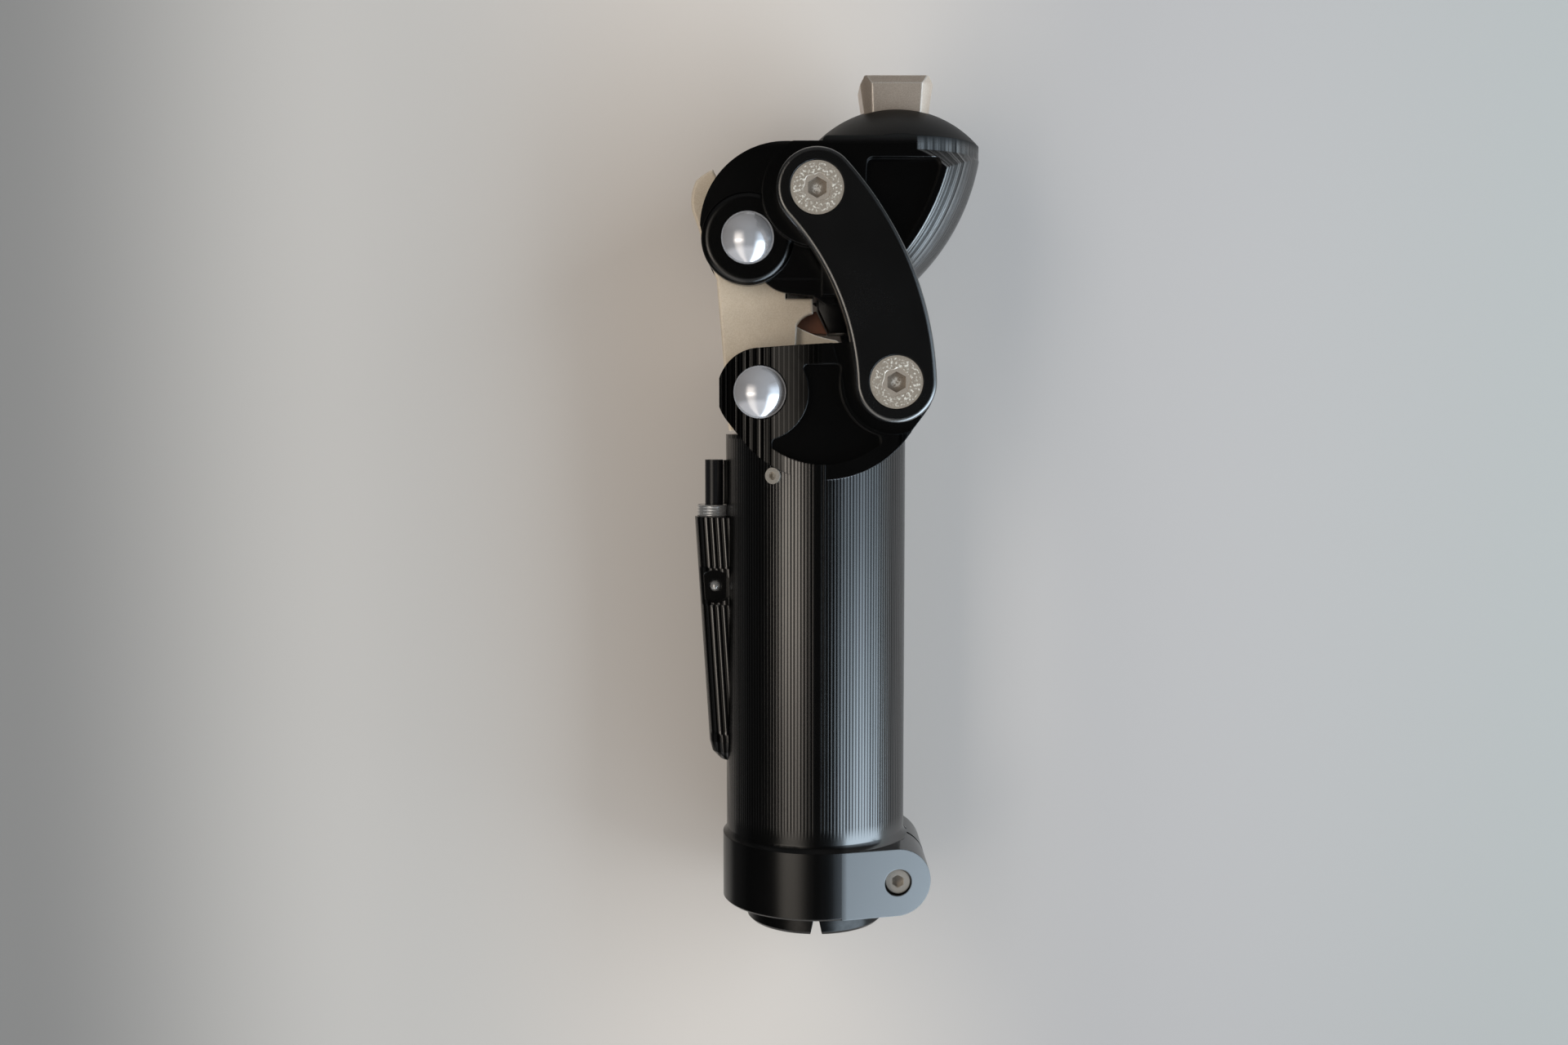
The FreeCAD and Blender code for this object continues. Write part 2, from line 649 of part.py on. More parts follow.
def cylinder_plug():
    """Closing plug of the air cylinder, with an O-ring groove and a spring seat."""
    plug = upright(0, 0, BORE_R - SEAT_GAP, PLUG_Z, PLUG_TOP_Z)
    groove_z = PLUG_Z + PLUG_H * 0.45
    groove = ring(BORE_R - 2 * O_RING_R, BORE_R + 1, groove_z - O_RING_R, groove_z + O_RING_R)
    dish = upright(0, 0, PYLON_R - 4, PLUG_Z - 1, PLUG_Z + 2.5)
    seat = ring(SPRING_R - 3, SPRING_R + 2, PLUG_TOP_Z - SPRING_SEAT_DEPTH, PLUG_TOP_Z + 1)
    return plug.cut([groove, dish, seat])


def plug_o_ring():
    middle_r = BORE_R - SEAT_GAP - O_RING_R
    return Part.makeTorus(middle_r, O_RING_R - 0.05, Vector(0, 0, PLUG_Z + PLUG_H * 0.45), Vector(0, 0, 1))


def plug_circlip():
    """Spring ring in a groove under the plug, open at the front."""
    z0 = PLUG_Z - CIRCLIP_T
    clip = ring(BORE_R - 2.6, BORE_R + CIRCLIP_DEPTH - SEAT_GAP, z0 + SEAT_GAP, PLUG_Z - SEAT_GAP)
    gap = box(0, BORE_R + 2, -3.5, 3.5, z0 - 1, PLUG_Z + 1)
    return clip.cut(gap)


def cylinder_liner():
    return ring(LINER_IN_R, BORE_R - SEAT_GAP, PLUG_TOP_Z + 0.1, BORE_TOP_Z - 0.1)


def piston():
    """Trunk piston, open at the top, with bosses for the wrist pin and two ring grooves."""
    top = PISTON_Z + PISTON_H
    body = upright(0, 0, PISTON_R, PISTON_Z, top)
    body = body.cut(upright(0, 0, PISTON_R - PISTON_WALL, PISTON_Z + PISTON_CROWN_T, top + 1))
    axis = (0, WRIST_Z)
    inner = box(-6.5, 6.5, ROD_HALF_T + SIDE_GAP, PISTON_R - 1, PISTON_Z + PISTON_CROWN_T - 0.5, WRIST_Z)
    boss = both_sides(inner.fuse(across(axis, 6.5, ROD_HALF_T + SIDE_GAP, PISTON_R - 1)))
    boss = boss.common(upright(0, 0, PISTON_R - 0.5, PISTON_Z, top))
    body = body.fuse(boss)
    body = body.cut(across(axis, WRIST_R + SEAT_GAP, -TUBE_R, TUBE_R))
    for z in RING_Z:
        body = body.cut(ring(PISTON_R - RING_DEPTH, PISTON_R + 1, z, z + RING_H))
    seat = ring(SPRING_R - 3, SPRING_R + 2, PISTON_Z - 1, PISTON_Z + SPRING_SEAT_DEPTH)
    return body.cut(seat)


def piston_ring(z):
    inner = PISTON_R - RING_DEPTH + SEAT_GAP
    return ring(inner, LINER_IN_R - 0.02, z + SEAT_GAP, z + RING_H - SEAT_GAP)


def wrist_pin():
    """Hollow pin that ends inside the piston's wall."""
    half = PISTON_R - 2.6
    pin = across((0, WRIST_Z), WRIST_R, -half, half)
    return pin.cut(across((0, WRIST_Z), WRIST_R - 1.6, -half - 1, half + 1))


def connecting_rod():
    """Forged rod with a round eye at each end and a waisted shank."""
    lower = (0.0, WRIST_Z)
    upper = ROD_PIN
    bush_low = WRIST_R + OPEN_PIVOT_GAP + ROD_BUSH_WALL
    eye_low = bush_low + 1.8
    eye_top = ROD_EYE_R
    right = tangent_point(lower, eye_low * 0.62, upper, eye_top * 0.62, -1)
    left = tangent_point(lower, eye_low * 0.62, upper, eye_top * 0.62, 1)
    edges = [line(right[0], right[1]), line(right[1], left[1]), line(left[1], left[0]), line(left[0], right[0])]
    rod = plate(edges, -ROD_HALF_T * 0.8, ROD_HALF_T * 0.8)
    rod = rod.fuse([across(lower, eye_low, -ROD_HALF_T, ROD_HALF_T), across(upper, eye_top, -ROD_HALF_T, ROD_HALF_T)])
    rod = rod.cut(across(lower, bush_low + SEAT_GAP, -9, 9))
    return rod.cut(across(upper, ROD_PIN_R + ROD_BUSH_WALL + SEAT_GAP, -9, 9))


def tube_across(axis, inner_r, outer_r, y0, y1):
    return across(axis, outer_r, y0, y1).cut(across(axis, inner_r, y0 - 1, y1 + 1))


def return_spring():
    """Coil spring between the plug and the piston crown, its two ends ground flat."""
    low = PLUG_TOP_Z - SPRING_SEAT_DEPTH + SEAT_GAP
    high = PISTON_Z + SPRING_SEAT_DEPTH - SEAT_GAP
    height = high - low
    helix = Part.makeHelix(height / SPRING_TURNS, height, SPRING_R)
    circle = Part.makeCircle(SPRING_WIRE_R, Vector(SPRING_R, 0, 0), Vector(0, 1, 0))
    coil = Part.Wire(helix).makePipeShell([Part.Wire(circle)], True, True)
    coil.translate(Vector(0, 0, low))
    return coil.common(upright(0, 0, SPRING_R + 2 * SPRING_WIRE_R, low, high))


def rear_link_plate():
    """Main plate: lower eye, straight back, head eye and the lobe above it."""
    low_start = polar(PIVOT_C, REAR_LOW_R, -90)
    heel = beside(PIVOT_C, -8.3, -REAR_LOW_R)
    back_low = beside(PIVOT_C, -9.8, 10.5)
    back_high = beside(PIVOT_A, -8.2, -10.2)
    lobe_low = polar(PIVOT_A, 14.9, 158)
    lobe_tip = polar(PIVOT_A, 18.2, 144)
    lobe_in = polar(PIVOT_A, LOBE_R, 131)
    lobe_top = polar(PIVOT_A, LOBE_R, LOBE_FRONT_ANGLE)
    lobe_foot = polar(PIVOT_A, REAR_TOP_R, LOBE_FRONT_ANGLE)
    eye_end = polar(PIVOT_A, REAR_TOP_R, -50)
    notch_x = notch_side_x()
    notch_high = point(notch_x, eye_end.z - 1.9)
    notch = point(notch_x, SHOULDER_Z)
    shoulder = point(SHOULDER_X, SHOULDER_Z)
    shoulder_low = point(SHOULDER_X + 0.1, SHOULDER_Z - 3.9)
    step_mid = point(SHOULDER_X - 3.2, SHOULDER_Z - 5.7)
    step = point(REAR_EDGE_X + 0.2, SHOULDER_Z - 7.6)
    waist = point(REAR_EDGE_X, SHOULDER_Z - 12.3)
    low_side = polar(PIVOT_C, REAR_LOW_R, 12)
    edges = [
        line(heel, back_low),
        line(back_low, back_high),
        line(back_high, lobe_low),
        arc(lobe_low, lobe_tip, lobe_in),
        arc(lobe_in, polar(PIVOT_A, LOBE_R, 124), lobe_top),
        line(lobe_top, lobe_foot),
        arc(lobe_foot, polar(PIVOT_A, REAR_TOP_R, 30), eye_end),
        line(eye_end, notch_high),
        line(notch_high, notch),
        line(notch, shoulder),
        line(shoulder, shoulder_low),
        arc(shoulder_low, step_mid, step),
        line(step, waist),
        line(waist, low_side),
        arc(low_side, polar(PIVOT_C, REAR_LOW_R, -40), low_start),
        line(low_start, heel),
    ]
    return plate(edges, -LINK_HALF_T, LINK_HALF_T)


def notch_side_x():
    """Side of the notch behind the head's stop tooth."""
    return polar(PIVOT_A, STOP_INNER_R, STOP_ANGLE).x - SIDE_GAP - 0.1


def rear_link_arms():
    """Two arms that reach forward to the rod pin."""
    root_high = beside(ROD_PIN, -8.9, 9.5)
    root_low = beside(ROD_PIN, -10.9, -6.5)
    top = polar(ROD_PIN, ARM_R, 62)
    bottom = polar(ROD_PIN, ARM_R, -100)
    edges = [
        arc(root_high, beside(ROD_PIN, -3.3, 6.7), top),
        arc(top, polar(ROD_PIN, ARM_R, -20), bottom),
        line(bottom, root_low),
        line(root_low, root_high),
    ]
    return both_sides(plate(edges, ARM_HALF_GAP, ARM_HALF_T))


def middle_of(edge):
    return edge.valueAt((edge.FirstParameter + edge.LastParameter) / 2)


def is_back_edge(edge):
    """True on the back and the lobe of the rear link."""
    return middle_of(edge).x < PIVOT_C[0] - REAR_LOW_R * 0.7


def is_shoulder_edge(edge):
    """True round the shoulder under the head."""
    middle = middle_of(edge)
    return middle.x > notch_side_x() + 1 and middle.z > SHOULDER_Z - 7.3


def rear_link():
    body = rear_link_plate()
    for test in (is_back_edge, is_shoulder_edge):
        rims = edges_at_y(body, -LINK_HALF_T) + edges_at_y(body, LINK_HALF_T)
        body = body.makeFillet(REAR_LINK_EDGE, [edge for edge in rims if test(edge)])
    body = body.fuse(rear_link_arms())
    bush_r = REAR_AXLE_R + REAR_BUSH_WALL + SEAT_GAP
    for pivot in (PIVOT_A, PIVOT_C):
        body = body.cut(across(pivot, bush_r, -LINK_HALF_T - 1, LINK_HALF_T + 1))
    body = body.cut(across(ROD_PIN, ROD_PIN_R + SEAT_GAP, -ARM_HALF_T - 1, ARM_HALF_T + 1))
    pad = bumper_block(SEAT_GAP)
    return body.cut(pad)


def bumper_block(gap):
    """Rubber pad let into the top of the rear link's shoulder."""
    x0 = notch_side_x() + 0.7 - gap
    x1 = SHOULDER_X - 1.0 + gap
    half = LINK_HALF_T - 2.2 + gap
    return box(x0, x1, -half, half, SHOULDER_Z - BUMPER_T - gap, SHOULDER_Z)


def rear_bushes(pivot):
    """Two plain bushes in one eye of the rear link, pushed in from both sides."""
    outer = REAR_AXLE_R + REAR_BUSH_WALL
    inner = REAR_AXLE_R + RUNNING_GAP
    return pair(tube_across(pivot, inner, outer, LINK_HALF_T - REAR_BUSH_L, LINK_HALF_T))


def thrust_washers(pivot):
    inner = REAR_AXLE_R + 0.3
    return pair(tube_across(pivot, inner, WASHER_R, LINK_HALF_T, LINK_HALF_T + WASHER_T))


def hollow_axle(pivot, radius, half_length, bore_r, bore_depth):
    """Axle with a screw hole in each end."""
    axle = across(pivot, radius, -half_length, half_length)
    hole = across(pivot, bore_r + SEAT_GAP, half_length - bore_depth, half_length + 1)
    return axle.cut([hole, mirrored(hole)])


def dome_screws(pivot, seat_y):
    """Screws with a plain mirror-bright dome, one each side."""
    inner_r = DOME_HEAD_R - DOME_SCREW_STEP
    rise = DOME_HEAD_H - DOME_SCREW_RIM_H
    sphere_r = (inner_r ** 2 + rise ** 2) / (2 * rise)
    top = seat_y + DOME_HEAD_H
    ball = Part.makeSphere(sphere_r, Vector(pivot[0], top - sphere_r, pivot[1]))
    cap = across(pivot, inner_r, seat_y, top).common(ball)
    head = cap.fuse(across(pivot, DOME_HEAD_R, seat_y, seat_y + DOME_SCREW_RIM_H - 0.15))
    shank = across(pivot, DOME_SHANK_R, seat_y - DOME_SHANK_L, seat_y)
    return pair(head.fuse(shank))


def countersunk_screws(pivot):
    """Flat-head hexagon socket screws, flush with the front links."""
    face = FRONT_LINK_Y + FRONT_LINK_T
    taper = COUNTERSUNK_R - COUNTERSUNK_SHANK_R
    base = Vector(pivot[0], face - 0.1 - taper - 0.6, pivot[1])
    cone = Part.makeCone(COUNTERSUNK_SHANK_R, COUNTERSUNK_R, taper, base, Vector(0, 1, 0))
    rim = across(pivot, COUNTERSUNK_R, face - 0.7, face - 0.1)
    shank = across(pivot, COUNTERSUNK_SHANK_R, face - COUNTERSUNK_SHANK_L, base.y + 0.1)
    if pivot == PIVOT_B:
        shank = across(pivot, COUNTERSUNK_SHANK_R, FRONT_LINK_Y, base.y + 0.1)
    screw = cone.fuse([rim, shank])
    return pair(screw.cut(hexagon(pivot, HEX_R, face - HEX_DEPTH, face)))


def front_link():
    """Curved flat bar on the near or far side, here the far one; its edges are rounded."""
    b = Vector(PIVOT_B[0], 0, PIVOT_B[1])
    d = Vector(PIVOT_D[0], 0, PIVOT_D[1])
    half = (d - b).Length / 2
    along = (d - b).normalize()
    normal = Vector(-along.z, 0, along.x)
    curve_r = (half ** 2 + FRONT_LINK_BULGE ** 2) / (2 * FRONT_LINK_BULGE)
    centre = (b + d) * 0.5 + normal * (FRONT_LINK_BULGE - curve_r)
    w = FRONT_LINK_HALF_W
    out_b = (b - centre).normalize()
    out_d = (d - centre).normalize()
    out_m = normal
    edges = [
        arc(b + out_b * w, centre + out_m * (curve_r + w), d + out_d * w),
        arc(d + out_d * w, d + turned(out_d) * w, d - out_d * w),
        arc(d - out_d * w, centre + out_m * (curve_r - w), b - out_b * w),
        arc(b - out_b * w, b - turned(out_b) * w, b + out_b * w),
    ]
    y0 = FRONT_LINK_Y
    y1 = y0 + FRONT_LINK_T
    bar = plate(edges, y0, y1)
    bar = bar.makeFillet(FRONT_LINK_EDGE, edges_at_y(bar, y1))
    for pivot in (PIVOT_B, PIVOT_D):
        bar = bar.cut(countersink(pivot))
    return bar


def turned(v):
    """The direction a quarter turn clockwise, seen from the near side."""
    return Vector(v.z, 0, -v.x)


def countersink(pivot):
    face = FRONT_LINK_Y + FRONT_LINK_T
    taper = COUNTERSUNK_R - COUNTERSUNK_SHANK_R
    gap = SEAT_GAP + 0.1
    base = Vector(pivot[0], face - 0.1 - taper - 0.6, pivot[1])
    cone = Part.makeCone(COUNTERSUNK_SHANK_R + gap, COUNTERSUNK_R + gap, taper, base, Vector(0, 1, 0))
    rim = across(pivot, COUNTERSUNK_R + gap, base.y + taper, face + 1)
    hole = across(pivot, COUNTERSUNK_SHANK_R + gap, FRONT_LINK_Y - 1, base.y + 0.1)
    return cone.fuse([rim, hole])


def head_outline_plate():
    """Cheek plate: arc over the top, round behind, open towards the front."""
    centre = (PIVOT_A[0] + 9.7, CHEEK_TOP_Z - CHEEK_R)
    front_x = BLOCK_START_X + 1
    start = polar(centre, CHEEK_R, 90)
    rear = polar(centre, CHEEK_R, 178)
    a_side = polar(PIVOT_A, CHEEK_A_R, 172)
    a_low = polar(PIVOT_A, CHEEK_A_R, -60)
    edges = [
        arc(start, polar(centre, CHEEK_R, 134), rear),
        line(rear, a_side),
        arc(a_side, polar(PIVOT_A, CHEEK_A_R, -135), a_low),
        line(a_low, point(front_x, a_low.z)),
        line(point(front_x, a_low.z), point(front_x, CHEEK_TOP_Z)),
        line(point(front_x, CHEEK_TOP_Z), start),
    ]
    return plate(edges, -SHOULDER_Y, SHOULDER_Y)


def head_nose_plate():
    """Thin web under pivot B that covers the sides of the rear link's shoulder."""
    top_z = PIVOT_B[1] - BOSS_B_R / 2
    a_low = polar(PIVOT_A, CHEEK_A_R, -68)
    over_shoulder = beside(PIVOT_A, 11.1, -13.85)
    shoulder_end = beside(PIVOT_A, 16.7, -14.45)
    foot_rear = beside(PIVOT_A, 20.1, -16.7)
    foot_front = beside(PIVOT_A, 29.7, -16.7)
    front = beside(PIVOT_A, 31.8, -14.6)
    edges = [
        arc(a_low, beside(PIVOT_A, 7.7, -13.2), over_shoulder),
        line(over_shoulder, shoulder_end),
        line(shoulder_end, foot_rear),
        line(foot_rear, foot_front),
        line(foot_front, front),
        line(front, point(front.x, top_z)),
        line(point(front.x, top_z), point(a_low.x, top_z)),
        line(point(a_low.x, top_z), a_low),
    ]
    return plate(edges, -NOSE_Y, NOSE_Y)


def cheek_boss():
    """Round boss of pivot A on both cheeks, its outer rims well rounded."""
    boss = across(PIVOT_A, CHEEK_A_R, -CHEEK_Y, CHEEK_Y)
    rims = edges_at_y(boss, -CHEEK_Y) + edges_at_y(boss, CHEEK_Y)
    return boss.makeFillet(CHEEK_EDGE, rims)


def front_boss():
    """Boss of pivot B, planed off just below the top of the head."""
    boss = across(PIVOT_B, BOSS_B_R, -HEAD_HALF_W, HEAD_HALF_W)
    reach = 2 * BOSS_B_R
    keep = box(-reach, reach, -HEAD_HALF_W, HEAD_HALF_W, PIVOT_B[1] - reach, BOSS_TOP_Z)
    keep.translate(Vector(PIVOT_B[0], 0, 0))
    return boss.common(keep)


def front_x(z):
    """The head's foremost x at one height."""
    return FRONT_ARC_X + math.sqrt(FRONT_ARC_R ** 2 - (z - FRONT_ARC_Z) ** 2)


def front_drop(y):
    """How far the swept front lies behind its foremost line at a distance from the middle."""
    return FRONT_PLAN_R - math.sqrt(FRONT_PLAN_R ** 2 - y ** 2)


def swept_front():
    """Block whose front is curved both in outline and in plan."""
    half = HEAD_HALF_W + 1
    low_z = HEAD_LOW_Z - 1
    step = (HEAD_TOP_Z - low_z) / (FRONT_SECTIONS - 1)
    wires = []
    for k in range(FRONT_SECTIONS):
        z = low_z + step * k
        nose = Vector(front_x(z), 0, z)
        near = Vector(nose.x - front_drop(half), -half, z)
        far = Vector(near.x, half, z)
        near_back = Vector(BLOCK_START_X - 1, -half, z)
        far_back = Vector(BLOCK_START_X - 1, half, z)
        edges = [arc(near, nose, far), line(far, far_back), line(far_back, near_back), line(near_back, near)]
        wires.append(Part.Wire(edges))
    return Part.makeLoft(wires, True, False)


def head_core():
    """Main block under the dome: swept front, turned shoulder and rounded foot."""
    front_low = point(front_x(HEAD_LOW_Z + 5.6), HEAD_LOW_Z + 5.6)
    foot_front = point(front_low.x - 11.1, HEAD_LOW_Z)
    foot_mid = point(front_low.x - 4.6, HEAD_LOW_Z + 1.8)
    reach_x = DOME_X + 2 * DOME_RIM_R
    corner = BLOCK_START_R * (1 - math.sqrt(0.5))
    corner_mid = point(BLOCK_START_X + corner, HEAD_TOP_Z - corner)
    corner_low = point(BLOCK_START_X, HEAD_TOP_Z - BLOCK_START_R)
    corner_top = point(BLOCK_START_X + BLOCK_START_R, HEAD_TOP_Z)
    edges = [
        arc(corner_low, corner_mid, corner_top),
        line(corner_top, point(reach_x, HEAD_TOP_Z)),
        line(point(reach_x, HEAD_TOP_Z), point(reach_x, front_low.z)),
        line(point(reach_x, front_low.z), front_low),
        arc(front_low, foot_mid, foot_front),
        line(foot_front, point(BLOCK_START_X, HEAD_LOW_Z)),
        line(point(BLOCK_START_X, HEAD_LOW_Z), corner_low),
    ]
    block = swept_front().common(plate(edges, -HEAD_HALF_W, HEAD_HALF_W))
    shoulder_z = HEAD_TOP_Z - DOME_RIM_H
    low_z = HEAD_LOW_Z - 1
    fall = shoulder_z - low_z
    low_r = DOME_RIM_R + fall * math.tan(math.radians(DOME_SHOULDER_ANGLE))
    turned_part = Part.makeCone(low_r, DOME_RIM_R, fall, Vector(DOME_X, 0, low_z))
    turned_part = turned_part.fuse(upright(DOME_X, 0, DOME_RIM_R, shoulder_z, HEAD_TOP_Z + 1))
    back = box(BLOCK_START_X - 1, DOME_X, -HEAD_HALF_W, HEAD_HALF_W, low_z, HEAD_TOP_Z + 1)
    return block.common(turned_part.fuse(back))


def dome():
    """Ball segment above a short rim, cut by the head's two flats."""
    centre_z = HEAD_TOP_Z - math.sqrt(DOME_R ** 2 - DOME_RIM_R ** 2)
    ball = Part.makeSphere(DOME_R, Vector(DOME_X, 0, centre_z))
    return ball.common(upright(DOME_X, 0, DOME_RIM_R, HEAD_TOP_Z - DOME_RIM_H, HEAD_TOP_Z + DOME_R))


def head_pockets():
    """Relief in each side of the head in front of the link, along the swept front's edge."""
    inner = HEAD_HALF_W - HEAD_POCKET_DEPTH
    centre_x = FRONT_ARC_X - front_drop(HEAD_HALF_W)
    radius = FRONT_ARC_R - HEAD_POCKET_RIM

    def on_front(z):
        return point(centre_x + math.sqrt(radius ** 2 - (z - FRONT_ARC_Z) ** 2), z)

    low_z = PIVOT_B[1] - 15.2
    rear_high = point(PIVOT_B[0] + 12.8, HEAD_POCKET_TOP_Z)
    rear_mid = beside(PIVOT_B, 12.9, -4.0)
    rear_low = point(PIVOT_B[0] + 15.7, low_z)
    front_high = on_front(HEAD_POCKET_TOP_Z)
    front_low = on_front(low_z)
    edges = [
        line(rear_high, front_high),
        arc(front_high, on_front((HEAD_POCKET_TOP_Z + low_z) / 2), front_low),
        line(front_low, rear_low),
        arc(rear_low, rear_mid, rear_high),
    ]
    pocket = plate(edges, inner, HEAD_HALF_W + 1)
    pocket = pocket.makeFillet(HEAD_POCKET_CORNER_R, edges_along_y(pocket))
    return both_sides(pocket)


def fork_space():
    """Space between the cheeks in which the rear link turns."""
    half = CHEEK_INNER_Y
    disc = across(PIVOT_A, CROTCH_R, -half, half)
    front_x = PIVOT_A[0] + CROTCH_R - 0.1
    roof_x = PIVOT_A[0] + ROOF_START
    rear_x = PIVOT_A[0] - 2 * CROTCH_R
    high_z = HEAD_TOP_Z + CROTCH_R
    low_z = HEAD_LOW_Z - CROTCH_R
    corners = [
        (rear_x, low_z),
        (front_x, low_z),
        (front_x, PIVOT_A[1] - 3),
        (roof_x, PIVOT_A[1]),
        (roof_x, high_z),
        (rear_x, high_z),
    ]
    below = polygon_plate(corners, -half, half)
    space = disc.fuse(below)
    return space.cut(stop_block(half))


def stop_block(half):
    """Tooth of the head that meets the shoulder pad when the knee is straight."""
    inner = polar(PIVOT_A, STOP_INNER_R, STOP_ANGLE)
    crotch = polar(PIVOT_A, CROTCH_R, STOP_ANGLE)
    root_x = PIVOT_A[0] + CROTCH_R + 1
    corners = [
        (inner.x, HEAD_LOW_Z),
        (root_x, HEAD_LOW_Z),
        (root_x, STOP_TOP_Z),
        (crotch.x, crotch.z),
        (inner.x, inner.z),
    ]
    return polygon_plate(corners, -half, half)


def knee_head():
    """Dome, cheeks, bosses and stop tooth, milled from one billet."""
    body = head_core().fuse([head_outline_plate(), head_nose_plate(), cheek_boss(), front_boss(), dome()])
    reach = DOME_X + 2 * DOME_RIM_R
    low_z = HEAD_LOW_Z - CROTCH_R
    high_z = PYRAMID_TOP_Z + 1
    body = body.common(box(-reach, reach, -HEAD_HALF_W, HEAD_HALF_W, low_z, high_z))
    bush_r = FRONT_AXLE_R + FRONT_BUSH_WALL + SEAT_GAP
    axle = across(PIVOT_A, REAR_AXLE_R + SEAT_GAP, -CHEEK_Y - 1, CHEEK_Y + 1)
    b_bore = across(PIVOT_B, bush_r, CHEEK_INNER_Y + 1.0, HEAD_HALF_W + 1)
    cuts = [fork_space(), axle, both_sides(b_bore), head_pockets(), pyramid_frustum(0.1)]
    cuts.append(upright(DOME_X, 0, PYRAMID_NECK_R + SEAT_GAP, PYRAMID_SEAT_Z, high_z))
    cuts.append(upright(DOME_X, 0, PYRAMID_STEM_R + SEAT_GAP, PYRAMID_STEM_Z, high_z))
    cuts.append(upright(DOME_X, 0, BOLT_R + 0.3, BOLT_HEAD_Z, high_z))
    cuts.append(upright(DOME_X, 0, BOLT_HEAD_R + 0.4, low_z, BOLT_HEAD_Z))
    return body.cut(cuts)


def pyramid_adapter():
    """Inverted pyramid with a round neck and a stem let into the dome."""
    base_z = PYRAMID_BASE_Z
    wide = square_wire(PYRAMID_HALF_W, PYRAMID_WIDE_Z)
    top = square_wire(PYRAMID_HALF_W - PYRAMID_CHAMFER, PYRAMID_TOP_Z)
    block = pyramid_frustum(0.0).fuse(Part.makeLoft([wide, top], True, True))
    fall = PYRAMID_FACE_H * math.tan(math.radians(PYRAMID_SLOPE))
    corners = Part.makeCone(PYRAMID_CORNER_R - fall, PYRAMID_CORNER_R, PYRAMID_FACE_H, Vector(DOME_X, 0, base_z))
    corners = corners.fuse(upright(DOME_X, 0, PYRAMID_CORNER_R, PYRAMID_WIDE_Z, PYRAMID_TOP_Z))
    block = block.common(corners)
    neck = upright(DOME_X, 0, PYRAMID_NECK_R, PYRAMID_SEAT_Z, base_z)
    stem = upright(DOME_X, 0, PYRAMID_STEM_R, PYRAMID_STEM_Z + 0.5, PYRAMID_SEAT_Z)
    hole = upright(DOME_X, 0, BOLT_R + SEAT_GAP, PYRAMID_STEM_Z, PYRAMID_SEAT_Z + 6.5)
    return block.fuse([neck, stem]).cut(hole)


def pyramid_frustum(gap):
    """The four sloping faces, grown sideways by a gap."""
    fall = PYRAMID_FACE_H * math.tan(math.radians(PYRAMID_SLOPE))
    lower = square_wire(PYRAMID_HALF_W - fall + gap, PYRAMID_BASE_Z)
    wide = square_wire(PYRAMID_HALF_W + gap, PYRAMID_WIDE_Z)
    return Part.makeLoft([lower, wide], True, True)


def square_wire(half, z):
    corners = [Vector(DOME_X + sx * half, sy * half, z) for sx, sy in ((-1, -1), (1, -1), (1, 1), (-1, 1))]
    return Part.makePolygon(corners + corners[:1])


def pyramid_bolt():
    """Cap screw that draws the pyramid down from inside the head."""
    head = upright(DOME_X, 0, BOLT_HEAD_R, BOLT_HEAD_Z - BOLT_HEAD_H, BOLT_HEAD_Z)
    shank = upright(DOME_X, 0, BOLT_R, BOLT_HEAD_Z, PYRAMID_SEAT_Z + 5)
    socket = upright(DOME_X, 0, BOLT_HEAD_R * 0.5, BOLT_HEAD_Z - BOLT_HEAD_H - 1, BOLT_HEAD_Z - 2.5)
    return head.fuse(shank).cut(socket)


def valve_nipple():
    """Threaded steel collar on top of the valve boss."""
    z0 = VALVE_TOP_Z + 0.02
    collar = upright(VALVE_X, 0, VALVE_NIPPLE_R, z0, z0 + VALVE_NIPPLE_H)
    rim = [e for e in collar.Edges if e.Closed and e.Vertexes[0].Z > z0 + 1]
    collar = collar.makeChamfer(0.7, rim)
    shank = upright(VALVE_X, 0, VALVE_NIPPLE_R * 0.85 - SEAT_GAP, VALVE_TOP_Z - 5.5, z0)
    return collar.fuse(shank).cut(upright(VALVE_X, 0, VALVE_STEM_R + RUNNING_GAP, z0 - 20, z0 + 20))


def valve_stem():
    """Turning stem that meters the air, with a screwdriver slot and a needle point."""
    stem = upright(VALVE_X, 0, VALVE_STEM_R, VALVE_TOP_Z - 9, VALVE_STEM_TOP_Z)
    needle = Part.makeCone(0.5, VALVE_STEM_R, 4, Vector(VALVE_X, 0, VALVE_TOP_Z - 13))
    slot = box(VALVE_X - 4, VALVE_X + 4, -0.4, 0.4, VALVE_STEM_TOP_Z - 1.2, VALVE_STEM_TOP_Z + 1)
    return stem.fuse(needle).cut(slot)


def channel_balls():
    """Steel balls pressed into the drilled channels on both sides of the boss."""
    balls = []
    for side in (-1, 1):
        balls.append(Part.makeSphere(BALL_R, Vector(VALVE_X + 0.4, side * (SPOT_Y - BALL_R + 0.6), SPOT_Z)))
    return Part.makeCompound(balls)


